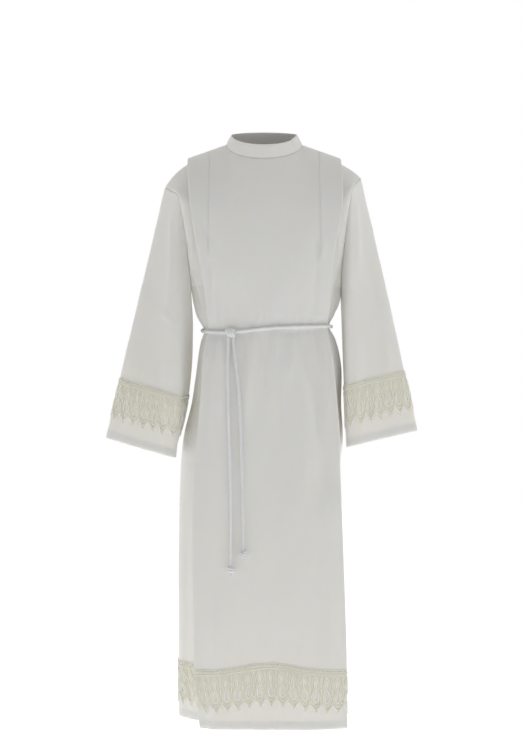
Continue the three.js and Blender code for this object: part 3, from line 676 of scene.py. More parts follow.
def woven(name, colour, shade, roughness):
    """Plain-woven cloth: threads over and under each other, slubs, and slightly uneven whiteness."""
    finish = Finish(name, roughness, 0.25, 0.2)
    where = finish.node("ShaderNodeUVMap", {"uv_map": "cloth"})
    u, v = (finish.node("ShaderNodeSeparateXYZ", {}, where, output=axis) for axis in (0, 1))
    warp, weft = (u * (math.pi / WEAVE)).sine(), (v * (math.pi / WEAVE)).sine()
    over = warp * weft
    threads = (warp.size() * (over * 0.5 + 0.5)).at_least(weft.size() * (0.5 - over * 0.5))
    slubs = finish.noise(finish.node("ShaderNodeMapping", {}, where, Scale=(900.0, 60.0, 1.0)), 1.0, 1.0)
    clouds = finish.noise(finish.place(), 9.0, 3.0)
    fine = finish.noise(finish.place(), 220.0)
    finish.feed("Base Color", finish.blend((clouds * 0.7 + slubs * 0.3 - 0.25).clamped(), shade, colour))
    finish.feed("Roughness", roughness - 0.08 + fine * 0.12)
    soft = finish.bump(clouds, 0.0016, 0.35)
    worn = finish.bump(slubs + fine * 0.6, 0.00012, 0.45, soft)
    finish.feed("Normal", finish.bump(threads, 0.00009, 0.5, worn))
    return finish


cloth = woven("white_cloth", (0.875, 0.872, 0.85, 1), (0.838, 0.832, 0.805, 1), 0.82)
cloth.set("Subsurface Weight", 0.8)
cloth.set("Subsurface Scale", 0.0014)
cloth.set("Subsurface Radius", (1.0, 0.92, 0.74))


def stands(obj, slot, *nodes):
    """The piece rides with the garment, stands for these solids and takes its finish from the slot."""
    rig.ride(obj, "root")
    if nodes:
        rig.replaces(obj, *nodes)
    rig.slot(obj, slot)
    return obj


sleeve_t = np.concatenate([np.linspace(0, 0.06, 9), np.linspace(0.07, 0.93, 88), np.linspace(0.94, 1, 8)])
ring_q = np.arange(2 * ARMHOLE_STEPS) / (2 * ARMHOLE_STEPS)
points = {side: body(side) for side in SIDES}
points |= {arm: sleeve_ring(arm, sleeve_t[:, None], ring_q[None, :]) for arm in ARMS}
normals = {key: normals_of(key) for key in points}
LAST = points["front"].shape[1] - 1
PLEAT_STEPS = 19 + SIDE_STEPS
NECK_FROM = PLEAT_STEPS + SHOULDER_STEPS - 1  # the neckline's first column
NECK_TO = NECK_FROM + NECK_STEPS
ARM_COLUMN = {"left": 0, "right": LAST}


# Creases listed one by one: the (X, Z) points of each, its height out of the cloth and its half width, in millimetres.
CREASES = {
    "front": [
        ([(-131, -270), (-133, -360), (-127, -440)], -2.6, 7), ([(-148, -190), (-135, -252)], -1.5, 6),
        ([(-122, -240), (-133, -296)], 1.4, 6), ([(-104, -300), (-119, -372), (-118, -442)], 1.6, 9),
        ([(118, -210), (128, -280), (120, -440)], -2.0, 9), ([(148, -230), (136, -300)], 1.5, 7),
        ([(150, -250), (104, -352)], 1.2, 8), ([(-60, -330), (-48, -450)], -1.2, 12),
        ([(38, -330), (30, -450)], 1.2, 13),
        ([(64, -458), (67, -500), (66, -590)], 3.6, 13),
        ([(84, -452), (106, -565), (126, -650), (133, -760)], -4.2, 12),
        ([(140, -460), (152, -560), (155, -720)], 2.6, 14), ([(38, -462), (40, -620), (34, -760)], -1.6, 12),
        ([(82, -872), (186, -866)], 0.9, 6), ([(-150, -872), (-40, -874)], 0.6, 6),
        ([(36, -1180), (34, -1300), (33, -1560)], 2.6, 11), ([(-40, -1120), (-34, -1300), (-34, -1560)], -2.2, 16),
        ([(-128, -470), (-136, -620), (-146, -800)], -2.4, 10), ([(-104, -462), (-96, -560), (-100, -700)], 2.2, 11),
        ([(-30, -456), (-34, -560), (-52, -720)], 2.0, 12), ([(-6, -456), (2, -540), (-2, -640)], -2.2, 11),
        ([(104, -1000), (112, -1200), (112, -1560)], -2.4, 18),
        ([(-120, -1040), (-118, -1230), (-124, -1560)], 2.0, 16),
    ],
    "back": [
        ([(-60, -80), (-20, -96), (30, -92), (70, -78)], -1.4, 12), ([(-150, -200), (-96, -290), (-60, -410)], 2.2, 10),
        ([(148, -190), (104, -290), (58, -420)], 2.0, 10), ([(-124, -260), (-92, -430)], -2.4, 9),
        ([(120, -250), (96, -430)], -2.2, 9), ([(-20, -320), (-14, -446)], 1.6, 10),
        ([(28, -300), (22, -446)], -1.6, 11),
        ([(-100, -460), (-116, -600), (-130, -820)], -3.0, 11), ([(98, -460), (116, -610), (134, -840)], -2.6, 12),
        ([(-24, -458), (-30, -600), (-34, -760)], -2.4, 11), ([(20, -458), (30, -580), (36, -700)], -2.0, 10),
        ([(56, -470), (70, -640), (80, -900)], 2.0, 12), ([(-64, -466), (-76, -650), (-84, -860)], 2.2, 13),
        ([(-130, -874), (-30, -870)], 0.8, 6), ([(40, -868), (150, -872)], 0.7, 6),
        ([(30, -1060), (36, -1260), (38, -1560)], -2.6, 17), ([(-60, -1000), (-56, -1240), (-60, -1560)], 2.2, 16),
    ],
    "side_left": [
        ([(-199, -318), (-178, -330), (-163, -372), (-150, -432)], -2.0, 4),
        ([(-196, -306), (-172, -320), (-152, -380)], 1.8, 4),
        ([(-186, -352), (-172, -392), (-160, -440)], 1.8, 4), ([(-170, -200), (-180, -270), (-176, -320)], 1.6, 6),
        ([(-158, -470), (-178, -560), (-196, -700)], -2.0, 7), ([(-206, -860), (-208, -1100), (-206, -1560)], 2.0, 10),
        ([(-186, -780), (-190, -1000), (-190, -1560)], -1.8, 8),
    ],
    "side_right": [
        ([(196, -268), (180, -330), (170, -392), (162, -440)], -2.0, 5),
        ([(202, -290), (188, -350), (176, -430)], 1.8, 5),
        ([(176, -200), (184, -280), (180, -330)], 1.4, 6), ([(172, -470), (186, -560), (190, -700)], -1.8, 7),
        ([(192, -840), (196, -1080), (196, -1560)], 1.8, 9),
    ],
    "sleeve_left_front": [
        ([(-227, -130), (-226, -210), (-229, -320), (-236, -440)], 2.2, 6),
        ([(-252, -410), (-236, -426), (-218, -446)], 1.6, 9),
        ([(-200, -342), (-214, -372), (-232, -392)], -1.4, 7), ([(-262, -240), (-280, -330), (-298, -430)], -1.2, 14),
        ([(-250, -470), (-258, -600), (-268, -720)], -1.8, 14),
        ([(-300, -460), (-318, -580), (-336, -720), (-344, -860)], 1.8, 15),
        ([(-226, -520), (-236, -640), (-250, -860)], 1.6, 10),
    ],
    "sleeve_left_back": [
        ([(-250, -150), (-238, -230), (-214, -320)], -2.0, 9), ([(-196, -330), (-230, -370), (-262, -384)], -2.4, 8),
        ([(-200, -352), (-232, -396), (-266, -412)], 2.2, 8), ([(-204, -384), (-238, -424), (-276, -440)], -1.8, 8),
        ([(-280, -470), (-298, -600), (-320, -860)], 2.2, 14), ([(-250, -480), (-262, -620), (-280, -860)], -2.0, 12),
    ],
    "sleeve_right_front": [
        ([(226, -118), (228, -220), (232, -340)], 1.6, 7), ([(212, -330), (232, -360), (258, -376)], -1.3, 8),
        ([(252, -250), (268, -350), (282, -440)], -1.2, 14), ([(246, -430), (252, -560), (258, -700)], -1.8, 14),
        ([(290, -420), (306, -560), (322, -700), (330, -860)], 1.8, 15),
        ([(222, -500), (228, -620), (238, -860)], 1.6, 10),
    ],
    "sleeve_right_back": [
        ([(244, -140), (234, -220), (214, -310)], -1.8, 9), ([(204, -320), (236, -356), (266, -372)], -2.2, 8),
        ([(206, -342), (240, -382), (272, -396)], 2.0, 8), ([(210, -376), (244, -414), (280, -430)], -1.6, 8),
        ([(274, -450), (290, -590), (310, -860)], 2.0, 14), ([(246, -470), (256, -610), (272, -860)], -1.8, 12),
    ],
}


CREASE_DEPTH = 1.6


def puckers(left, right, seed):
    """Small folds that run up and down from the cord, where it gathers the waist in."""
    rng = np.random.default_rng(seed)
    made, x = [], left
    while x < right:
        sign, high, low = rng.choice((-1, 1)), rng.uniform(26, 70), rng.uniform(40, 120)
        upper = [(x, WAIST - 10), (x + rng.uniform(-5, 5), WAIST + high)]
        made.append((upper, sign * rng.uniform(0.7, 1.7), rng.uniform(4, 7)))
        lower = [(x, WAIST + 10), (x * 1.06, WAIST - low)]
        made.append((lower, -sign * rng.uniform(0.9, 2.2), rng.uniform(5, 8)))
        x += rng.uniform(15, 27)
    return made


CREASES["front"] += puckers(-128, 148, 5)
CREASES["back"] += puckers(-134, 138, 8)


def crease_height(place, grid):
    """The creases' heights over a grid of points, with each crease dying away towards both its ends."""
    total, flat = np.zeros(grid.shape[:2]), grid[..., [0, 2]]
    for line, height, width in CREASES[place]:
        line = np.array(line, float)
        run = lengths(line, 0)
        best, part = np.full(grid.shape[:2], np.inf), np.zeros(grid.shape[:2])
        for k, step in enumerate(np.diff(run)):
            way = line[k + 1] - line[k]
            t = np.clip(((flat - line[k]) @ way) / step**2, 0, 1)
            away = np.linalg.norm(flat - line[k] - t[..., None] * way, axis=-1)
            part = np.where(away < best, (run[k] + t * step) / run[-1], part)
            best = np.minimum(best, away)
        total += height * bell(best / width) * ease(np.minimum(part, 1 - part) * 3.2)
    return total * CREASE_DEPTH


def uneven(grid, seed, height):
    """Cloth never hangs quite smooth: slight waves in several directions."""
    rng = np.random.default_rng(seed)
    total = np.zeros(grid.shape[:2])
    for _ in range(7):
        wave, turn, start = rng.uniform(60, 190), rng.uniform(-0.7, 0.7), rng.uniform(0, 6.28)
        total += np.sin(2 * np.pi / wave * (grid[..., 0] * math.cos(turn) + grid[..., 2] * math.sin(turn)) + start)
    return total * height / 3


def creased_body(side):
    grid = points[side]
    k = np.arange(LAST + 1)
    from_edge = np.minimum(k, LAST - k)
    middle = ease((from_edge - PLEAT_STEPS) / 4)
    layer = ease(from_edge / 5) * ease((SIDE_STEPS - from_edge) / 5)
    start = ease(lengths(grid, 0) / 22)
    height = (crease_height(side, grid) + uneven(grid, 3 if side == "front" else 4, 0.7)) * middle
    sides = np.where(k < LAST / 2, crease_height("side_left", grid), crease_height("side_right", grid))
    return grid + normals[side] * ((height + sides * layer) * start)[..., None]


def creased_sleeve(arm):
    grid = points[arm]
    ahead, behind = ease(np.minimum(ring_q, 0.5 - ring_q) / 0.07), ease(np.minimum(ring_q - 0.5, 1 - ring_q) / 0.07)
    start = ease((lengths(grid, 0) - 4) / 26)
    height = crease_height("sleeve_%s_front" % arm, grid) * ahead + crease_height("sleeve_%s_back" % arm, grid) * behind
    return grid + normals[arm] * ((height + uneven(grid, 6, 0.5)) * start)[..., None]


points = {side: creased_body(side) for side in SIDES} | {arm: creased_sleeve(arm) for arm in ARMS}
normals = {key: normals_of(key) for key in points}

# Seam directions: both pieces at a seam share one outward direction, so that their dips meet.
seam_way = {}
for arm in ARMS:
    column = ARM_COLUMN[arm]
    around = np.empty((2 * ARMHOLE_STEPS, 3))
    for k in range(2 * ARMHOLE_STEPS):
        side, row = ("front", k) if k <= ARMHOLE_STEPS else ("back", 2 * ARMHOLE_STEPS - k)
        around[k] = normals[side][row, column] + normals[arm][0, k]
    around[0] += normals["back"][0, column]
    around[ARMHOLE_STEPS] = (0, 0, -1)
    seam_way[arm] = unit(around)
    seam_way["side_" + arm] = unit(normals["front"][:, column] + normals["back"][:, column])
seam_way["shoulder"] = unit((normals["front"][0] + normals["back"][0]) * (1, 0, 1))
SEAM_DIP, SEAM_REACH, SEAM_TURN, SEAM_GAP = 0.7, 2.6, 9.0, 0.3


def dip(out, seam, away):
    """How the cloth goes in towards a seam: out is its own direction, seam the seam's, away how far off it is."""
    near = (1 - ease(away / SEAM_TURN))[..., None]
    return unit(out * (1 - near) + seam * near) * (SEAM_DIP * bell(away / SEAM_REACH))[..., None]


def lowered(key):
    """The piece's cloth, dipping at its seams."""
    grid, out = points[key], normals[key]
    if key in ARMS:
        return grid - dip(out, seam_way[key], lengths(grid, 0))
    result = grid - dip(out, seam_way["shoulder"], lengths(grid, 0))
    k = np.arange(len(row_v))
    ring = np.minimum(k, ARMHOLE_STEPS)
    if key == "back":
        ring = (2 * ARMHOLE_STEPS - ring) % (2 * ARMHOLE_STEPS)
    for arm in ARMS:
        flip = slice(None) if arm == "left" else slice(None, None, -1)
        edge = np.where((k <= ARMHOLE_STEPS)[:, None], seam_way[arm][ring], seam_way["side_" + arm])
        result -= dip(out, edge[:, None], lengths(grid[:, flip], 1)[:, flip])
    return result


def draw_back(edge, beside):
    edge += unit(beside - edge) * SEAM_GAP


surfaces = {key: lowered(key) for key in points}
seam_line = {key: surfaces[key].copy() for key in surfaces}
pieces = {}
for key, node in (("front", "front"), ("back", "back"), ("left", "sleeve_left"), ("right", "sleeve_right")):
    grid = surfaces[key]
    if key in SIDES:
        draw_back(grid[:, 0], grid[:, 1])
        draw_back(grid[:, -1], grid[:, -2])
    draw_back(grid[0], grid[1])
    name = node + ("_cloth" if key in ARMS else "_panel")
    made = grid_object(name, grid, OUTWARD[key], cloth, CLOTH_WALL, key in ARMS)
    pieces[key] = stands(made, "cloth", node)

# Seam allowances: the cut edges of the cloth lie inside the garment under every seam, pressed flat, as a
# narrow strip of the same cloth.
ALLOWANCE_WIDE, ALLOWANCE_LEVEL = 5.0, 1.25
THIN_WALL = 0.0005  # of one layer pressed flat


def allowance(name, line, into_one, into_other, out, ring=False):
    """A narrow strip under a seam: line is the seam, out its outward directions."""
    steps = ((into_one, 1.0), (into_one, 0.45), (into_one, 0.0), (into_other, 0.45), (into_other, 1.0))
    grid = np.stack([line + way * (ALLOWANCE_WIDE * reach) - out * ALLOWANCE_LEVEL for way, reach in steps])
    return stands(grid_object(name, grid, True, cloth, THIN_WALL, ring), "cloth")


allowances = []
for arm in ARMS:
    column, beside = ARM_COLUMN[arm], 1 if arm == "left" else LAST - 1
    k = np.arange(2 * ARMHOLE_STEPS)
    row = np.where(k <= ARMHOLE_STEPS, k, 2 * ARMHOLE_STEPS - k)
    onto = np.where((k <= ARMHOLE_STEPS)[:, None], points["front"][row, beside], points["back"][row, beside])
    one, two = unit(onto - points[arm][0]), unit(points[arm][2] - points[arm][0])
    allowances.append(allowance("armhole_allowance_" + arm, seam_line[arm][0], one, two, seam_way[arm], True))
    rows = np.arange(ARMHOLE_STEPS + 2, len(row_v) - len(HEM_ROWS) + 2)
    one, two = (unit(points[side][rows, beside] - points[side][rows, column]) for side in SIDES)
    line, out = seam_line["front"][rows, column], seam_way["side_" + arm][rows]
    allowances.append(allowance("side_allowance_" + arm, line, one, two, out))
for arm, columns in (("left", slice(0, NECK_FROM - 1)), ("right", slice(NECK_TO + 2, None))):
    one, two = (unit(points[side][1, columns] - points[side][0, columns]) for side in SIDES)
    line, out = seam_line["front"][0, columns], seam_way["shoulder"][columns]
    allowances.append(allowance("shoulder_allowance_" + arm, line, one, two, out))

# Collar: a stand-up band of two layers of the cloth with a stiff lining between, closed with an overlap at one
# side, edge-stitched, and set into the neckline with its allowance turned inside.
COLLAR_TOP = {"half": 80, "front": 70, "back": 56, "side": 27, "front_drop": 35, "back_rise": 15}
COLLAR_STEPS = 180
COLLAR_HALF = 1.0  # half the band's thickness
COLLAR_SEAM = 3.0  # from either edge to its line of stitches
COLLAR_ROWS = [0.3, 1.3, 2.3, COLLAR_SEAM, 3.7, 4.8]
# The allowance turned inside: how far out of the collar, into the body, up the collar and inwards it lies.
TURNED_IN = [
    (-1.1, 0, 0, 2.1), (0, 2.0, 0, 2.3), (0, 5.0, 0, 2.4), (0, 5.0, 0, 1.9), (0, 1.0, 0, 1.75),
    (-0.55, 0, 0, 1.6), (-0.5, 0, 0.3, 0),
]
angle = np.arange(COLLAR_STEPS) / COLLAR_STEPS * 2 * np.pi - np.pi / 2


def collar_ring(shape):
    s, c = np.sin(angle), np.cos(angle)
    y = mix(SHOULDER["y"], np.where(c > 0, -shape["front"], shape["back"]), np.abs(c))
    z = shape["side"] - np.where(c > 0, shape["front_drop"], shape["back_rise"]) * c
    return np.stack([shape["half"] * s, y, z], axis=-1)


def dent(at, spread, h, middle=0.45):
    """A shallow hollow in the band."""
    return bell((angle - at) / spread) * bell((h / rise - middle) / 0.4)


def band_row(h, level):
    return neck + up * h[:, None] + collar_out * level[:, None]


neck, top = collar_ring(NECK), collar_ring(COLLAR_TOP)
overlap = ease((angle - 0.98) / 0.03) * (1 - ease((angle - 1.2) / 0.9)) * (angle < 2.5)
top[:, 2] += 2.2 * overlap
rise, up = np.linalg.norm(top - neck, axis=1), unit(top - neck)
along = np.roll(neck, -1, axis=0) - np.roll(neck, 1, axis=0)
collar_out = unit(np.cross(along, up))
inner_w = np.clip(w_of(neck[:, 0]), -0.485, 0.48)
into = [panel(side, inner_w, 0.03) - panel(side, inner_w, 0.0) for side in SIDES]
into = unit(np.where(np.cos(angle)[:, None] > 0, *into))
inside = unit(np.cross(unit(along), into))
inside *= np.where(inside[:, 2:] > 0, -1, 1)
loop = []
heights = [np.full(COLLAR_STEPS, h) for h in COLLAR_ROWS]
heights += [mix(COLLAR_ROWS[-1], rise - COLLAR_ROWS[-1], k / 8) for k in range(1, 8)]
heights += [rise - h for h in COLLAR_ROWS[::-1]]
for h in heights:
    level = COLLAR_HALF + 0.5 * np.sin(np.pi * np.clip(h / rise, 0, 1)) + overlap
    level = level - 0.4 * bell((h - COLLAR_SEAM) / 0.8) - 0.4 * bell((rise - COLLAR_SEAM - h) / 0.8)
    loop.append(band_row(h, level - 2.4 * dent(0.4, 0.09, h) - 1.2 * dent(-0.55, 0.25, h, 0.5)))
for turn in np.pi * np.arange(1, 6) / 6:
    level = mix(-COLLAR_HALF, COLLAR_HALF + overlap, (1 + math.cos(turn)) / 2)
    loop.append(band_row(rise - 0.3 + math.sin(turn) * 0.9, level))
for k in range(9):
    h = rise * (1 - k / 8)
    loop.append(band_row(h, -COLLAR_HALF + 0.4 * np.sin(np.pi * h / rise) - 2.2 * dent(0.4, 0.09, h)))
for outwards, sunk, raised, inwards in TURNED_IN:
    loop.append(neck + collar_out * outwards + into * sunk + up * raised + inside * inwards)
loop = np.stack(loop)
wide = np.concatenate([loop, loop[:, :1]], axis=1)
wide = np.concatenate([wide, wide[:1]])
uv = np.stack([lengths(wide, 1), lengths(wide, 0)], axis=-1)
# The collar takes a brighter copy of the body's white cloth. This is painted light: it stands in for the light that
# shines through the thin cloth elsewhere but not through the solid band.
painted_light_collar_cloth = woven("collar_cloth_painted_light", (0.93, 0.927, 0.908, 1), (0.895, 0.89, 0.868, 1), 0.8)
made = grid_object("collar_band", loop, False, painted_light_collar_cloth, ring=True, uv=uv)
pieces["collar"] = stands(made, "cloth", "collar")

# Tucks, hem and cuffs: a pin tuck is stitched down each side of the chest, the hem and the cuffs are turned up
# inside, and all of them and the collar's edges are sewn with white polyester thread, in stitches 2.5 mm long.
TUCK_WIDE, TUCK_TOP, TUCK_END = 3.4, -17.0, -283.0
STITCH_LEVEL = CLOTH_WALL * 500 + 0.12  # millimetres above the middle of the cloth
STITCH = {"Pitch": 0.003, "Long": 0.0025, "Radius": 0.00026}
TURNED_UP = {"level": 1.05, "wall": 0.0006}  # below the middle of the cloth; its own thickness

sewing_thread = Finish("sewing_thread", 0.5, 0.1, 0.4)
sheen = sewing_thread.noise(sewing_thread.place(), 900.0, 1.0)
sewing_thread.feed("Base Color", sewing_thread.blend(sheen, (0.80, 0.79, 0.76, 1), (0.9, 0.89, 0.87, 1)))
sewing_thread.feed("Roughness", 0.4 + sheen * 0.2)


def grown(name, lines, tree, finish, ring=False, **inputs):
    """A plain mesh that a Geometry Nodes tree makes along lines of points in millimetres."""
    edges, first = [], 0
    for line in lines:
        last = first + len(line) - 1
        edges += [(k, k + 1) for k in range(first, last)] + ([(last, first)] if ring else [])
        first = last + 1
    mesh = bpy.data.meshes.new(name + "_lines")
    mesh.from_pydata((np.concatenate(lines) * MM).tolist(), edges, [])
    made = placed(name, mesh)
    step = made.modifiers.new("grow", "NODES")
    step.node_group = tree
    inputs["Finish"] = finish.material
    for item in tree.interface.items_tree:
        if item.in_out == "INPUT" and item.name in inputs:
            step[item.identifier] = inputs[item.name]
    bpy.context.view_layer.update()
    mesh = bpy.data.meshes.new_from_object(made.evaluated_get(bpy.context.evaluated_depsgraph_get()))
    made.modifiers.remove(step)
    made.data = mesh
    mesh.polygons.foreach_set("use_smooth", np.ones(len(mesh.polygons), bool))
    return made


class Tree:
    """A Geometry Nodes tree with named inputs."""

    def __init__(self, name, **inputs):
        self.group = bpy.data.node_groups.new(name, "GeometryNodeTree")
        face = self.group.interface
        for title, kind in ({"Lines": "Geometry"} | inputs | {"Finish": "Material"}).items():
            face.new_socket(title, in_out="INPUT", socket_type="NodeSocket" + kind)
        face.new_socket("Result", in_out="OUTPUT", socket_type="NodeSocketGeometry")
        self.given = self.group.nodes.new("NodeGroupInput").outputs

    def node(self, kind, settings, *values, output=0, **named):
        return added(self.group, kind, settings, *values, output=output, **named)

    def maths(self, operation, *values):
        return self.node("ShaderNodeMath", {"operation": operation}, *values)

    def curve(self, step=None):
        """The given lines as curves, with points a step apart."""
        line = self.node("GeometryNodeMeshToCurve", {}, self.given["Lines"])
        if step is None:
            return line
        return self.node("GeometryNodeResampleCurve", {"mode": "LENGTH"}, Curve=line, Length=step)

    def done(self, shape):
        real = self.node("GeometryNodeRealizeInstances", {}, shape)
        painted = self.node("GeometryNodeSetMaterial", {}, Geometry=real, Material=self.given["Finish"])
        self.group.links.new(painted, self.group.nodes.new("NodeGroupOutput").inputs[0])
        return self.group


tree = Tree("stitches_along_lines", Pitch="Float", Long="Float", Radius="Float")
thick = tree.given["Radius"]
stitch = tree.node("GeometryNodeMeshUVSphere", {}, Segments=6, Rings=4, Radius=1.0)
size = tree.node("ShaderNodeCombineXYZ", {}, thick, thick, tree.maths("MULTIPLY", tree.given["Long"], 0.5))
ahead = tree.node("GeometryNodeInputTangent", {})
turned = tree.node("FunctionNodeAlignRotationToVector", {"axis": "Z"}, Vector=ahead)
places = tree.curve(tree.given["Pitch"])
row = tree.node("GeometryNodeInstanceOnPoints", {}, Points=places, Instance=stitch, Rotation=turned, Scale=size)
STITCH_TREE = tree.done(row)


def stitched(name, lines, ring=False):
    made = grown(name, lines, STITCH_TREE, sewing_thread, ring, **STITCH)
    return stands(made, "cloth")


def down_the_front(x):
    """Places along a tuck, where the front's X is x, with the outward directions there."""
    middle = slice(PLEAT_STEPS, LAST + 1 - PLEAT_STEPS)
    fields = surfaces["front"][:, middle], normals["front"][:, middle]
    found = []
    for j in range(len(row_v)):
        across = fields[0][j, :, 0]
        if np.all(np.diff(across) > 0):
            here = [[np.interp(x, across, field[j, :, k]) for k in range(3)] for field in fields]
            if TUCK_END <= here[0][2] <= TUCK_TOP:
                found.append(here)
    found = np.array(found)
    return found[:, 0], unit(found[:, 1])


trims = {key: [] for key in SIDES + ARMS}
for arm, x in (("left", -133.5), ("right", 135.0)):
    line, out = down_the_front(x)
    across = unit(np.cross(np.gradient(line, axis=0), out))
    flat = np.ones(len(line))
    flat[-3:] = (0.8, 0.5, 0.15)
    profile = [(0.0, 0.45), (0.4, 0.72), (1.6, 0.85), (TUCK_WIDE - 0.4, 0.8), (TUCK_WIDE, 0.45)]
    way = across * np.sign(x) * np.sign(across[:, :1])
    tuck = [line + way * a * flat[:, None] + out * (0.3 + (b - 0.3) * flat)[:, None] for a, b in profile]
    made = grid_object("tuck_" + arm, np.stack(tuck, axis=1), x > 0, cloth, THIN_WALL)
    trims["front"] += [stands(made, "cloth")]
    trims["front"] += [stitched("tuck_stitches_" + arm, [line - way * 0.7 + out * STITCH_LEVEL])]

# The turned-up layer takes a brighter copy of the body's white cloth. This is painted light: it lifts the darker band
# where the cloth lies double at the hem and the cuffs.
brightened_inner_layer_cloth = woven("turned_up_cloth", (0.96, 0.955, 0.94, 1), (0.94, 0.935, 0.915, 1), 0.82)
for key in SIDES + ARMS:
    grid, out, ring = surfaces[key], normals[key], key in ARMS
    node, count = ("cuff", 5) if ring else ("hem", len(HEM_ROWS) - 1)
    low = unit(grid[-1] - grid[-2]) if ring else np.array([0, 0, -1.0])
    inner = (grid - out * TURNED_UP["level"])[-count:][::-1]
    turned_up = np.concatenate([(grid[-1] - out[-1] * 0.45 + low * 0.7)[None], inner])
    name = node + "_turned_up_" + key
    made = grid_object(name, turned_up, OUTWARD[key], brightened_inner_layer_cloth, TURNED_UP["wall"], ring)
    seam = (grid + out * STITCH_LEVEL)[1 - count]
    trims[key] += [stands(made, "cloth")]
    trims[key] += [stitched(node + "_stitches_" + key, [seam if ring else seam[1:-1]], ring)]
edges = [loop[COLLAR_ROWS.index(COLLAR_SEAM) + k] + collar_out * 0.12 for k in (0, 12)]
collar_stitches = stitched("collar_stitches", edges, True)


def cut(key):
    """A sheet as it was cut: its widest and longest measure, and its flat area."""
    grid = surfaces[key] * MM
    grid = np.concatenate([grid, grid[:, :1]], axis=1) if key in ARMS else grid
    corner, beside, below, far = grid[:-1, :-1], grid[:-1, 1:], grid[1:, :-1], grid[1:, 1:]
    halves = [np.cross(beside - corner, below - corner), np.cross(far - beside, far - below)]
    area = sum(np.linalg.norm(half, axis=-1).sum() / 2 for half in halves)
    return {"flat": (float(lengths(grid, 1)[:, -1].max()), float(lengths(grid, 0)[-1].max())), "area": float(area)}


trims["front"] += allowances
body_pieces = [pieces[side] for side in SIDES]
for key in SIDES + ARMS:
    rests = {"rests_on": body_pieces} if key in ARMS else {}
    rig.sheet(pieces[key], **cut(key), held="hung", with_pieces=trims[key], **rests)
band_long = float(lengths(np.concatenate([neck, neck[:1]]), 0)[-1]) * MM
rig.sheet(
    pieces["collar"], flat=(band_long, 0.030), held="folded", rests_on=body_pieces, with_pieces=[collar_stitches],
)

# Lace: bands of cotton lace sewn on round the sleeves and above the hem. A fine net carries raised threads: a
# scroll along the top, a row of pointed leaves, a drop below each leaf with a hole in it, and a scalloped edge.
LACE_PITCH = 27.0  # one repeat as drawn; each band is stretched a little to hold a whole number of them
LACE_MIDDLE = LACE_PITCH / 2
LACE_TALL = 106.0
LACE_LEVEL = 1.1  # the net's middle above the middle of the cloth
NET_WALL = 0.00035
THREAD = 0.82  # half its thickness
HEM_LACE_TOP, HEM_LACE_RISE = -1277.0, 20
CUFF_TO_LACE = 152.0
DOWNS = np.arange(0, 109.5, 1.5)  # depths below the top at which a band is laid out


def bent(points, steps):
    """A smooth line through points."""
    p = np.array(points, float)
    p = np.concatenate([[2 * p[0] - p[1]], p, [2 * p[-1] - p[-2]]])
    t = np.linspace(0, len(p) - 3, steps)
    i = np.clip(np.floor(t).astype(int), 0, len(p) - 4)
    a, b, c, d = p[i], p[i + 1], p[i + 2], p[i + 3]
    return hermite(b, (c - a) / 2, c, (d - b) / 2, (t - i)[:, None])


# The motif, in points of the flat band (across, down). Each line is drawn again, mirrored in the repeat's
# middle, and the sprigs' lines in its edge.
SCALLOP = bent([(0, 84), (3.5, 88.5), (8, 95.5), (11, 101.5), (13.5, LACE_TALL)], 40)
LEAVES_AND_DROPS = [
    [(9.4, 50.5), (5.8, 43), (4.9, 36), (6.8, 28.8), (10.1, 22.3), (13.5, 16.8)],
    [(13.5, 49), (11.6, 44), (10.8, 37.5), (11.6, 31), (13.5, 26)],
    [(13.5, 47.8), (11.4, 54), (9.3, 61), (8.5, 69), (9.6, 74.5), (13.5, 77.4)],
    [(9.2, 51), (5.4, 57.5), (3.0, 66), (3.6, 76), (7.4, 83.2), (13.5, 86.6)],
]
CHEVRON = [(0.4, 75.5), (3.2, 84), (8.0, 91.4), (13.5, 96.8)]
SPRIGS = [  # between the repeats
    [(0, 17.5), (1.2, 24.5), (1.2, 33.5), (0, 42)],
    [(0, 46), (0.8, 52), (0, 60)],
]
# The hole in a drop: its half width, the depth of its sides, and how far it reaches up and down from them.
HOLE_HALF, HOLE_TOP, HOLE_BOTTOM, HOLE_UP, HOLE_DOWN = 4.9, 69.0, 71.0, 20.6, 6.0
HOLE_ROW = 14  # row of the net whose faces the hole leaves out


def motif_lines():
    """All the raised threads of one repeat, as lines of (across, down)."""
    mirror, over = np.array([-1.0, 1.0]), (LACE_PITCH, 0)
    lines = []
    for shape, steps in [(shape, 13) for shape in LEAVES_AND_DROPS] + [(CHEVRON, 9)]:
        line = bent(shape, steps)
        lines += [line, line * mirror + over]
    for shape in SPRIGS:
        line = bent(shape, 9)
        lines += [line, line * mirror]
    edge = np.concatenate([SCALLOP[::4], [[LACE_MIDDLE, LACE_TALL]]]) + (0, -0.3)
    lines += [edge, edge * mirror + over]
    lines.append(np.array([(LACE_PITCH * k / 24, 6.6 - 2.9 * math.cos(k * math.pi / 4)) for k in range(25)]))
    lines += [np.array([(LACE_PITCH * k / 6, down) for k in range(7)]) for down in (0.8, 12.4)]
    return lines


def between(field, row, column):
    """What a field holds at places between the points of its grid."""
    j = np.clip(np.floor(row).astype(int), 0, field.shape[0] - 2)
    i = np.clip(np.floor(column).astype(int), 0, field.shape[1] - 2)
    t, s = (row - j)[..., None], (column - i)[..., None]
    return mix(mix(field[j, i], field[j, i + 1], s), mix(field[j + 1, i], field[j + 1, i + 1], s), t)


def laid_out(grid, out, level_row, row_of, ring, outward):
    """A band on its cloth: places 1 mm apart along it, at each depth below its top. row_of gives the grid's row
    for each of them."""
    if ring:
        grid, out = (np.concatenate([field, field[:, :1]], axis=1) for field in (grid, out))
    j = int(level_row)
    run = lengths(mix(grid[j], grid[j + 1], level_row - j), 0)
    columns = np.interp(np.linspace(0, run[-1], int(round(run[-1])) + 1), run, np.arange(len(run)))
    rows = row_of(grid, columns)
    columns = np.broadcast_to(columns[:, None], rows.shape)
    places, ways = between(grid, rows, columns), unit(between(out, rows, columns))
    return {"places": places, "ways": ways, "total": run[-1], "ring": ring, "outward": outward}


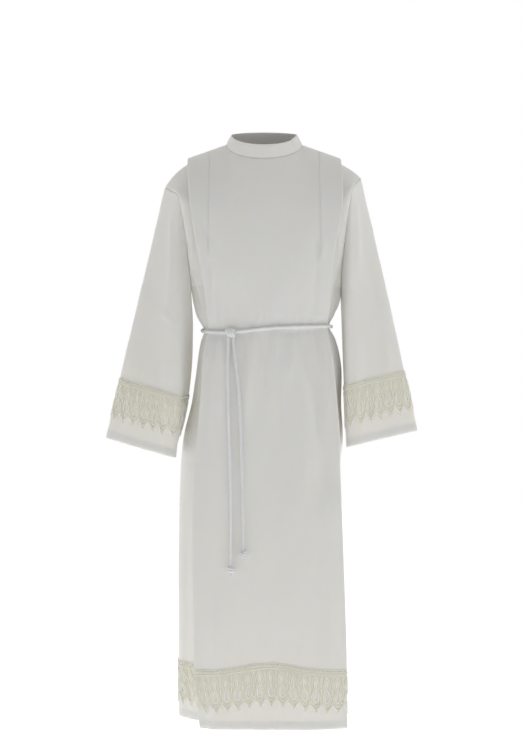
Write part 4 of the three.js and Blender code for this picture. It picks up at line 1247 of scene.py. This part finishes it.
def on_band(band, across, down, level):
    """Places of the flat band laid on the cloth, at a height above its middle."""
    rows, columns = band["places"].shape[:2]
    s = np.clip(across / band["total"], 0, 1) * (rows - 1)
    d = np.clip(down / DOWNS[1], 0, columns - 1.001)
    return between(band["places"], s, d) + unit(between(band["ways"], s, d)) * level[..., None]


def hem_rows(grid, columns):
    """The band above the hem is level, but in the middle of the front it is a little raised."""
    x, y = (np.interp(columns, np.arange(grid.shape[1]), grid[int(hem_level), :, k]) for k in (0, 1))
    raised = np.where(y < -60, HEM_LACE_RISE * bell((x - 12) / 95), 0)
    return np.interp(DOWNS - (HEM_LACE_TOP + raised)[:, None], -row_z, np.arange(len(row_z)))


def sleeve_rows(grid, columns):
    """The band on a sleeve keeps its distance from the cuff."""
    away, index = lengths(grid[::-1], 0), np.arange(len(grid))[::-1]
    rows = []
    for column in columns:
        i = min(int(column), grid.shape[1] - 2)
        rows.append(np.interp(CUFF_TO_LACE - DOWNS, mix(away[:, i], away[:, i + 1], column - i), index))
    return np.array(rows)


hem_level = np.interp(50 - HEM_LACE_TOP, -row_z, np.arange(len(row_z)))
cuff_level = np.interp(0.86, sleeve_t, np.arange(len(sleeve_t)))
turn_in = PLEAT_STEPS - 10  # the front and back bands run on round the pleats' outer folds
side_in = SIDE_STEPS - 2
bands = {}
for side in SIDES:
    fields = [field[side][:, turn_in : LAST + 1 - turn_in] for field in (surfaces, normals)]
    bands["hem_lace_" + side] = laid_out(*fields, hem_level, hem_rows, False, OUTWARD[side])
for arm in ARMS:
    columns = slice(side_in - 1, None, -1) if arm == "left" else slice(LAST + 1 - side_in, None)
    fields = [
        np.concatenate([field["front"][:, columns], field["back"][:, columns][:, ::-1][:, 1:]], axis=1)
        for field in (surfaces, normals)
    ]
    bands["hem_lace_" + arm] = laid_out(*fields, hem_level, hem_rows, False, True)
    bands["sleeve_lace_" + arm] = laid_out(
        surfaces[arm], normals[arm], cuff_level, sleeve_rows, True, OUTWARD[arm]
    )

MESH_SIZE = 0.0017  # of the net
lace_net = Finish("lace_net", 0.85, 0.2, 0.2)
where = lace_net.node("ShaderNodeUVMap", {"uv_map": "cloth"})
across, upward = (
    lace_net.node("ShaderNodeSeparateXYZ", {}, where, output=axis) * (math.pi / MESH_SIZE) for axis in (0, 1)
)
meshes = across.sine().size()
for slant in (0.866, -0.866):
    meshes = meshes.at_most((across * 0.5 + upward * slant).sine().size())
filled = lace_net.node("ShaderNodeAttribute", {"attribute_name": "filled"}, output=2)
lace_net.feed("Alpha", (1.0 - (meshes > 0.52) * (1.0 - filled)).clamped())
tint = lace_net.noise(lace_net.place(), 60.0)
lace_net.feed("Base Color", lace_net.blend(tint, (0.90, 0.895, 0.765, 1), (0.92, 0.915, 0.805, 1)))
ribs = (across * 2.0).sine() * (upward * 2.0).sine()
lace_net.feed("Normal", lace_net.bump(ribs * filled - meshes, 0.0001, 0.4))

lace_thread = Finish("lace_thread", 0.7, 0.3, 0.3)
tone = lace_thread.noise(lace_thread.place(), 45.0)
lace_thread.feed("Base Color", lace_thread.blend(tone, (0.99, 0.985, 0.945, 1), (1.0, 0.996, 0.97, 1)))
fibre = lace_thread.noise(lace_thread.place(), 1600.0, 1.0)
lace_thread.feed("Normal", lace_thread.bump(fibre, 0.0001, 0.4))

tree = Tree("thread_along_lines", Radius="Float", Sides="Int")
ring = tree.node("GeometryNodeCurvePrimitiveCircle", {}, Resolution=tree.given["Sides"], Radius=tree.given["Radius"])
THREAD_TREE = tree.done(
    tree.node("GeometryNodeCurveToMesh", {}, Curve=tree.curve(), Profile_Curve=ring, Fill_Caps=True)
)
NET_X = np.array([0, 2, 4, 6, 7.4, 8.6, 9.6, 10.8, 12.2, 13.5, 14.8, 16.2, 17.4, 18.4, 19.6, 21, 23, 25])


def sewn_down(depth):
    return 0.42 * np.clip(1 - depth / 4, 0, 1)


def lace_band(name, band):
    """A band's net with its holes, its raised threads, and the net's area."""
    repeats = round(band["total"] / LACE_PITCH)
    stretch = band["total"] / repeats / LACE_PITCH
    x = [NET_X + LACE_PITCH * k for k in range(repeats)] + ([] if band["ring"] else [[LACE_PITCH * repeats]])
    x = np.concatenate(x)
    off = np.abs(np.where(x < LACE_PITCH * repeats, x % LACE_PITCH, 0.0) - LACE_MIDDLE)
    part, holed = np.clip(off / HOLE_HALF, 0, 1), off <= HOLE_HALF + 0.01
    top = HOLE_TOP - np.where(holed, HOLE_UP * (1 - part) ** 1.15, 0)
    bottom = HOLE_BOTTOM + np.where(holed, HOLE_DOWN * np.sqrt(1 - part**2), 0)
    edge = np.interp(LACE_MIDDLE - off, SCALLOP[:, 0], SCALLOP[:, 1])
    depth = [top * t for t in np.linspace(0, 1, HOLE_ROW + 1)] + [mix(bottom, edge, t) for t in np.linspace(0, 1, 9)]
    depth = np.stack(depth)
    width = np.broadcast_to(x * stretch, depth.shape)
    grid = on_band(band, width, depth, LACE_LEVEL - sewn_down(depth))
    uv = np.stack([width, -depth], axis=-1)
    if band["ring"]:
        seam = uv[:, :1] * (0, 1) + (band["total"], 0)
        uv = np.concatenate([uv, seam], axis=1)
    keep = np.ones((len(depth) - 1, uv.shape[1] - 1), bool)
    keep[HOLE_ROW] = ~(holed & np.roll(holed, -1))[: uv.shape[1] - 1]
    net = grid_object(name + "_net", grid, band["outward"], lace_net, NET_WALL, band["ring"], uv, keep)
    leaf = np.interp(depth, [22, 26, 32, 37, 43, 48], [0, 1.5, 3.9, 4.9, 3.6, 0])
    drop = np.interp(depth, [47, 52, 58, 66, 74, 80, 84], [0, 3.6, 6.4, 8.5, 8.0, 4.6, 0])
    thick = (off < leaf) | (off < drop) | (depth < 3) | (edge - depth < 4.5)
    amount = net.data.attributes.new("filled", "FLOAT", "POINT")
    amount.data.foreach_set("value", thick.reshape(-1).astype(np.float32))
    raised = LACE_LEVEL + NET_WALL * 500 + THREAD + 0.03
    lines = []
    for k in range(repeats):
        for line in motif_lines():
            across, down = (line[:, 0] + LACE_PITCH * k) * stretch, line[:, 1]
            lines.append(on_band(band, across, down, raised - sewn_down(down)))
    threads = grown(name + "_threads", lines, THREAD_TREE, lace_thread, Radius=THREAD * MM, Sides=4)
    return stands(net, "lace", name), stands(threads, "lace"), sum(face.area for face in net.data.polygons)


for name, band in bands.items():
    net, threads, area = lace_band(name, band)
    under = {"hem_lace_back": "back", "sleeve_lace_left": "left", "sleeve_lace_right": "right"}.get(name, "front")
    flat = (band["total"] * MM, LACE_TALL * MM)
    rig.sheet(net, flat=flat, area=area, held="draped", rests_on=[pieces[under].name], with_pieces=[threads])

# Cincture: a white cord of three strands laid together, 8 mm thick. It goes once round the waist, is tied in front
# on the left, and its two ends hang down the front; each ends in a wound knot with a short cut tuft.
CORD = 8.0
STRAND_TURN = 21.0  # length of cord in one turn of its strands
KNOT_CENTRE = np.array([-79.8, -100.2, -466.3])
CORD_ENDS = [
    [
        (-85.3, -100, -479.2), (-85.5, -100.6, -492), (-86, -102.6, -506), (-86.5, -105.4, -524),
        (-87, -108.7, -548), (-87, -111.5, -580), (-86, -114.5, -620), (-84.5, -116.6, -665),
        (-83, -118.4, -712), (-81.5, -120.1, -760), (-80, -121.5, -808), (-79, -122.7, -856),
        (-78.5, -123.9, -904), (-78.5, -125, -950), (-79, -127, -990), (-79.5, -130.2, -1022),
    ],
    [
        (-74.3, -100, -479.2), (-73.6, -101.8, -492), (-72, -104.1, -506), (-69.5, -107, -524),
        (-66.5, -109.9, -548), (-63, -112.2, -580), (-60, -114.4, -620), (-57.5, -116.3, -665),
        (-55.5, -118, -712), (-54, -119.7, -760), (-52.5, -121.3, -808), (-51.5, -122.6, -856),
        (-50.5, -124, -904), (-50, -125.4, -935), (-49.5, -127.8, -965), (-49, -130.4, -985),
    ],
]

cord_thread = Finish("cord_thread", 0.62, 0.25, 0.35)
tone = cord_thread.noise(cord_thread.place(), 70.0)
cord_thread.feed("Base Color", cord_thread.blend(tone, (0.80, 0.81, 0.84, 1), (0.9, 0.905, 0.92, 1)))
drawn = cord_thread.node("ShaderNodeMapping", {}, cord_thread.place(), Scale=(1.0, 1.0, 0.25))
cord_thread.feed("Normal", cord_thread.bump(cord_thread.noise(drawn, 2600.0), 0.00025, 0.6))

tree = Tree("laid_cord", Radius="Float", Turn="Float", Step="Float", Strands="Float")
run = tree.node("GeometryNodeSplineParameter", {}, output=1)
lay = tree.maths("MULTIPLY", tree.maths("DIVIDE", run, tree.given["Turn"]), 2 * math.pi)
line = tree.node("GeometryNodeSetCurveTilt", {}, Curve=tree.curve(tree.given["Step"]), Tilt=lay)
half = tree.maths("MULTIPLY", tree.node("GeometryNodeSplineParameter", {}), math.pi)
lobe = tree.maths("ABSOLUTE", tree.maths("COSINE", tree.maths("MULTIPLY", half, tree.given["Strands"])))
reach = tree.maths("MULTIPLY_ADD", lobe, 0.27, 0.73)
place = tree.node("GeometryNodeInputPosition", {})
place = tree.node("ShaderNodeVectorMath", {"operation": "SCALE"}, place, Scale=reach)
ring = tree.node("GeometryNodeCurvePrimitiveCircle", {}, Resolution=24, Radius=tree.given["Radius"])
ring = tree.node("GeometryNodeSetPosition", {}, Geometry=ring, Position=place)
CORD_TREE = tree.done(tree.node("GeometryNodeCurveToMesh", {}, Curve=line, Profile_Curve=ring, Fill_Caps=True))


def places_along(line, run):
    """The places that lie so far along a line."""
    far = lengths(line, 0)
    return np.stack([np.interp(run, far, column) for column in line.T], axis=1)


def laid_cord(name, lines, turn=STRAND_TURN, width=CORD):
    sizes = {"Radius": width / 2000, "Turn": turn * MM, "Step": 0.0015, "Strands": 3.0}
    return grown(name, lines, CORD_TREE, cord_thread, **sizes)


def outline_of(places):
    """The places that a tight loop round all of them touches, in order."""
    here = places[np.argmin(places[:, 0])]
    found = [here]
    while len(found) < 400:
        step = places - found[-1]
        step = step[np.hypot(step[:, 0], step[:, 1]) > 1e-6]
        best = step[0]
        for other in step:
            if best[0] * other[1] - best[1] * other[0] < 0:
                best = other
        following = found[-1] + best
        if np.hypot(*(following - here)) < 1e-6:
            break
        found.append(following)
    return np.array(found)


# Round the waist the cord lies tight on the outermost cloth and stops either side of the knot.
j = int(np.argmin(np.abs(row_z - WAIST)))
rim = np.concatenate([surfaces[side][j - 1 : j + 2, :, :2].reshape(-1, 2) for side in ("front", "back")])
rim = outline_of(rim)
rim = np.concatenate([rim, rim[:1]])
girdle = places_along(rim, np.arange(0, lengths(rim, 0)[-1], 2.0))
for _ in range(30):
    girdle = (np.roll(girdle, 1, axis=0) + girdle * 2 + np.roll(girdle, -1, axis=0)) / 4
tangent = unit(np.roll(girdle, -1, axis=0) - np.roll(girdle, 1, axis=0))
outward = np.stack([tangent[:, 1], -tangent[:, 0]], axis=1)
outward *= np.sign((outward * (girdle - girdle.mean(axis=0))).sum(axis=1).mean())
girdle = girdle + outward * (CLOTH_WALL * 500 + CORD / 2 + 0.7)
x, y = girdle.T
girdle = np.column_stack([x, y, WAIST + CORD_TILT * x - knot_pull(x, y) + BACK_RISE * ease((y + 20) / 60)])
off = np.where(y < -40, np.abs(x - KNOT_CENTRE[0]), np.inf)
girdle = np.roll(girdle, -int(np.argmin(off)), axis=0)
run = lengths(girdle, 0)
girdle = girdle[(run > 10) & (run < run[-1] - 8)]
stands(laid_cord("cincture_round_waist", [girdle]), "cord", "cincture_waist")

# The waist knot: the ends are wrapped three times round the cord and come out below.
t = np.linspace(0, 1, 150)
wrap = 2 * np.pi * 3 * t - 1.2
swell = 1 - 0.2 * (2 * t - 1) ** 4
knot_line = np.stack([
    mix(-9.4, 9.4, t) + 1.6 * np.sin(wrap), -5.4 * np.cos(wrap) * swell,
    -8.4 * np.sin(wrap) * swell - 0.12 * mix(-9, 9, t),
], axis=1)
core = np.linspace((-12, 0, 0), (12, 0, 0), 20)
waist_knot = laid_cord("cincture_waist_knot", [knot_line + KNOT_CENTRE, core + KNOT_CENTRE], 18.0, 7.6)
stands(waist_knot, "cord", "cincture_knot")


def end_knot(name, centre, seed):
    """The end is wound round itself into a small barrel, with the strands cut off short below it."""
    rng = np.random.default_rng(seed)
    t = np.linspace(0, 1, 110)
    wrap = 2 * np.pi * 2.2 * t + rng.uniform(0, 6)
    round_it = (5.2 * (1 - 0.22 * (2 * t - 1) ** 4))[:, None] * np.column_stack([np.cos(wrap), np.sin(wrap)])
    line = np.column_stack([round_it, mix(7.8, -4.6, t) + 0.9 * np.sin(wrap)])
    core = np.linspace((0, 0, 11), (0, 0, -7), 14)
    barrel = laid_cord(name, [line + centre, core + centre], 16.0, 7.4)
    tuft = []
    for k in range(46):
        turn, out = rng.uniform(0, 2 * np.pi), math.sqrt(rng.uniform(0, 1))
        way, low = np.array([math.cos(turn), math.sin(turn)]), rng.uniform(-12.4, -11.0)
        places = [(2.6 * out, -5.0), (3.2 * out, -8.0), (4.0 * out + rng.uniform(-0.5, 0.5), low)]
        tuft.append(np.array([(*(way * r), z) for r, z in places]) + centre)
    return barrel, grown(name + "_tuft", tuft, THREAD_TREE, cord_thread, Radius=0.0004, Sides=5)


for k, route in enumerate(CORD_ENDS):
    line = bent(route, 40 * (len(route) - 1) + 1)
    run = lengths(line, 0)[-1]
    line = places_along(line, np.linspace(0, run, max(3, int(run / 2.0) + 1)))
    end = laid_cord("cincture_hanging_end_%d" % (k + 1), [line])
    centre = np.array(route[-1], float) + (0, -1, -12.8)
    barrel, fringe = end_knot("cincture_end_knotted_%d" % (k + 1), centre, 20 + k)
    stands(end, "cord", "cincture_end_%d" % (k + 1))
    stands(barrel, "cord", "cincture_end_knot_%d" % (k + 1))
    stands(fringe, "cord")
    long = float(lengths(line, 0)[-1]) * MM
    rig.cord(
        end, exit=[c * MM for c in route[0]], length=round(long, 3), diameter=CORD * MM, far_end="knot",
        stiffness="limp", lay="hanging", path=(line * MM).tolist(), with_pieces=[barrel, fringe],
    )

visual_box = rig.bounds()
with open("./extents.json", "w") as size_file:
    boxes = {"cad": cad_box, "visual": visual_box}
    json.dump({name: [[float(c) for c in corner] for corner in box] for name, box in boxes.items()}, size_file)
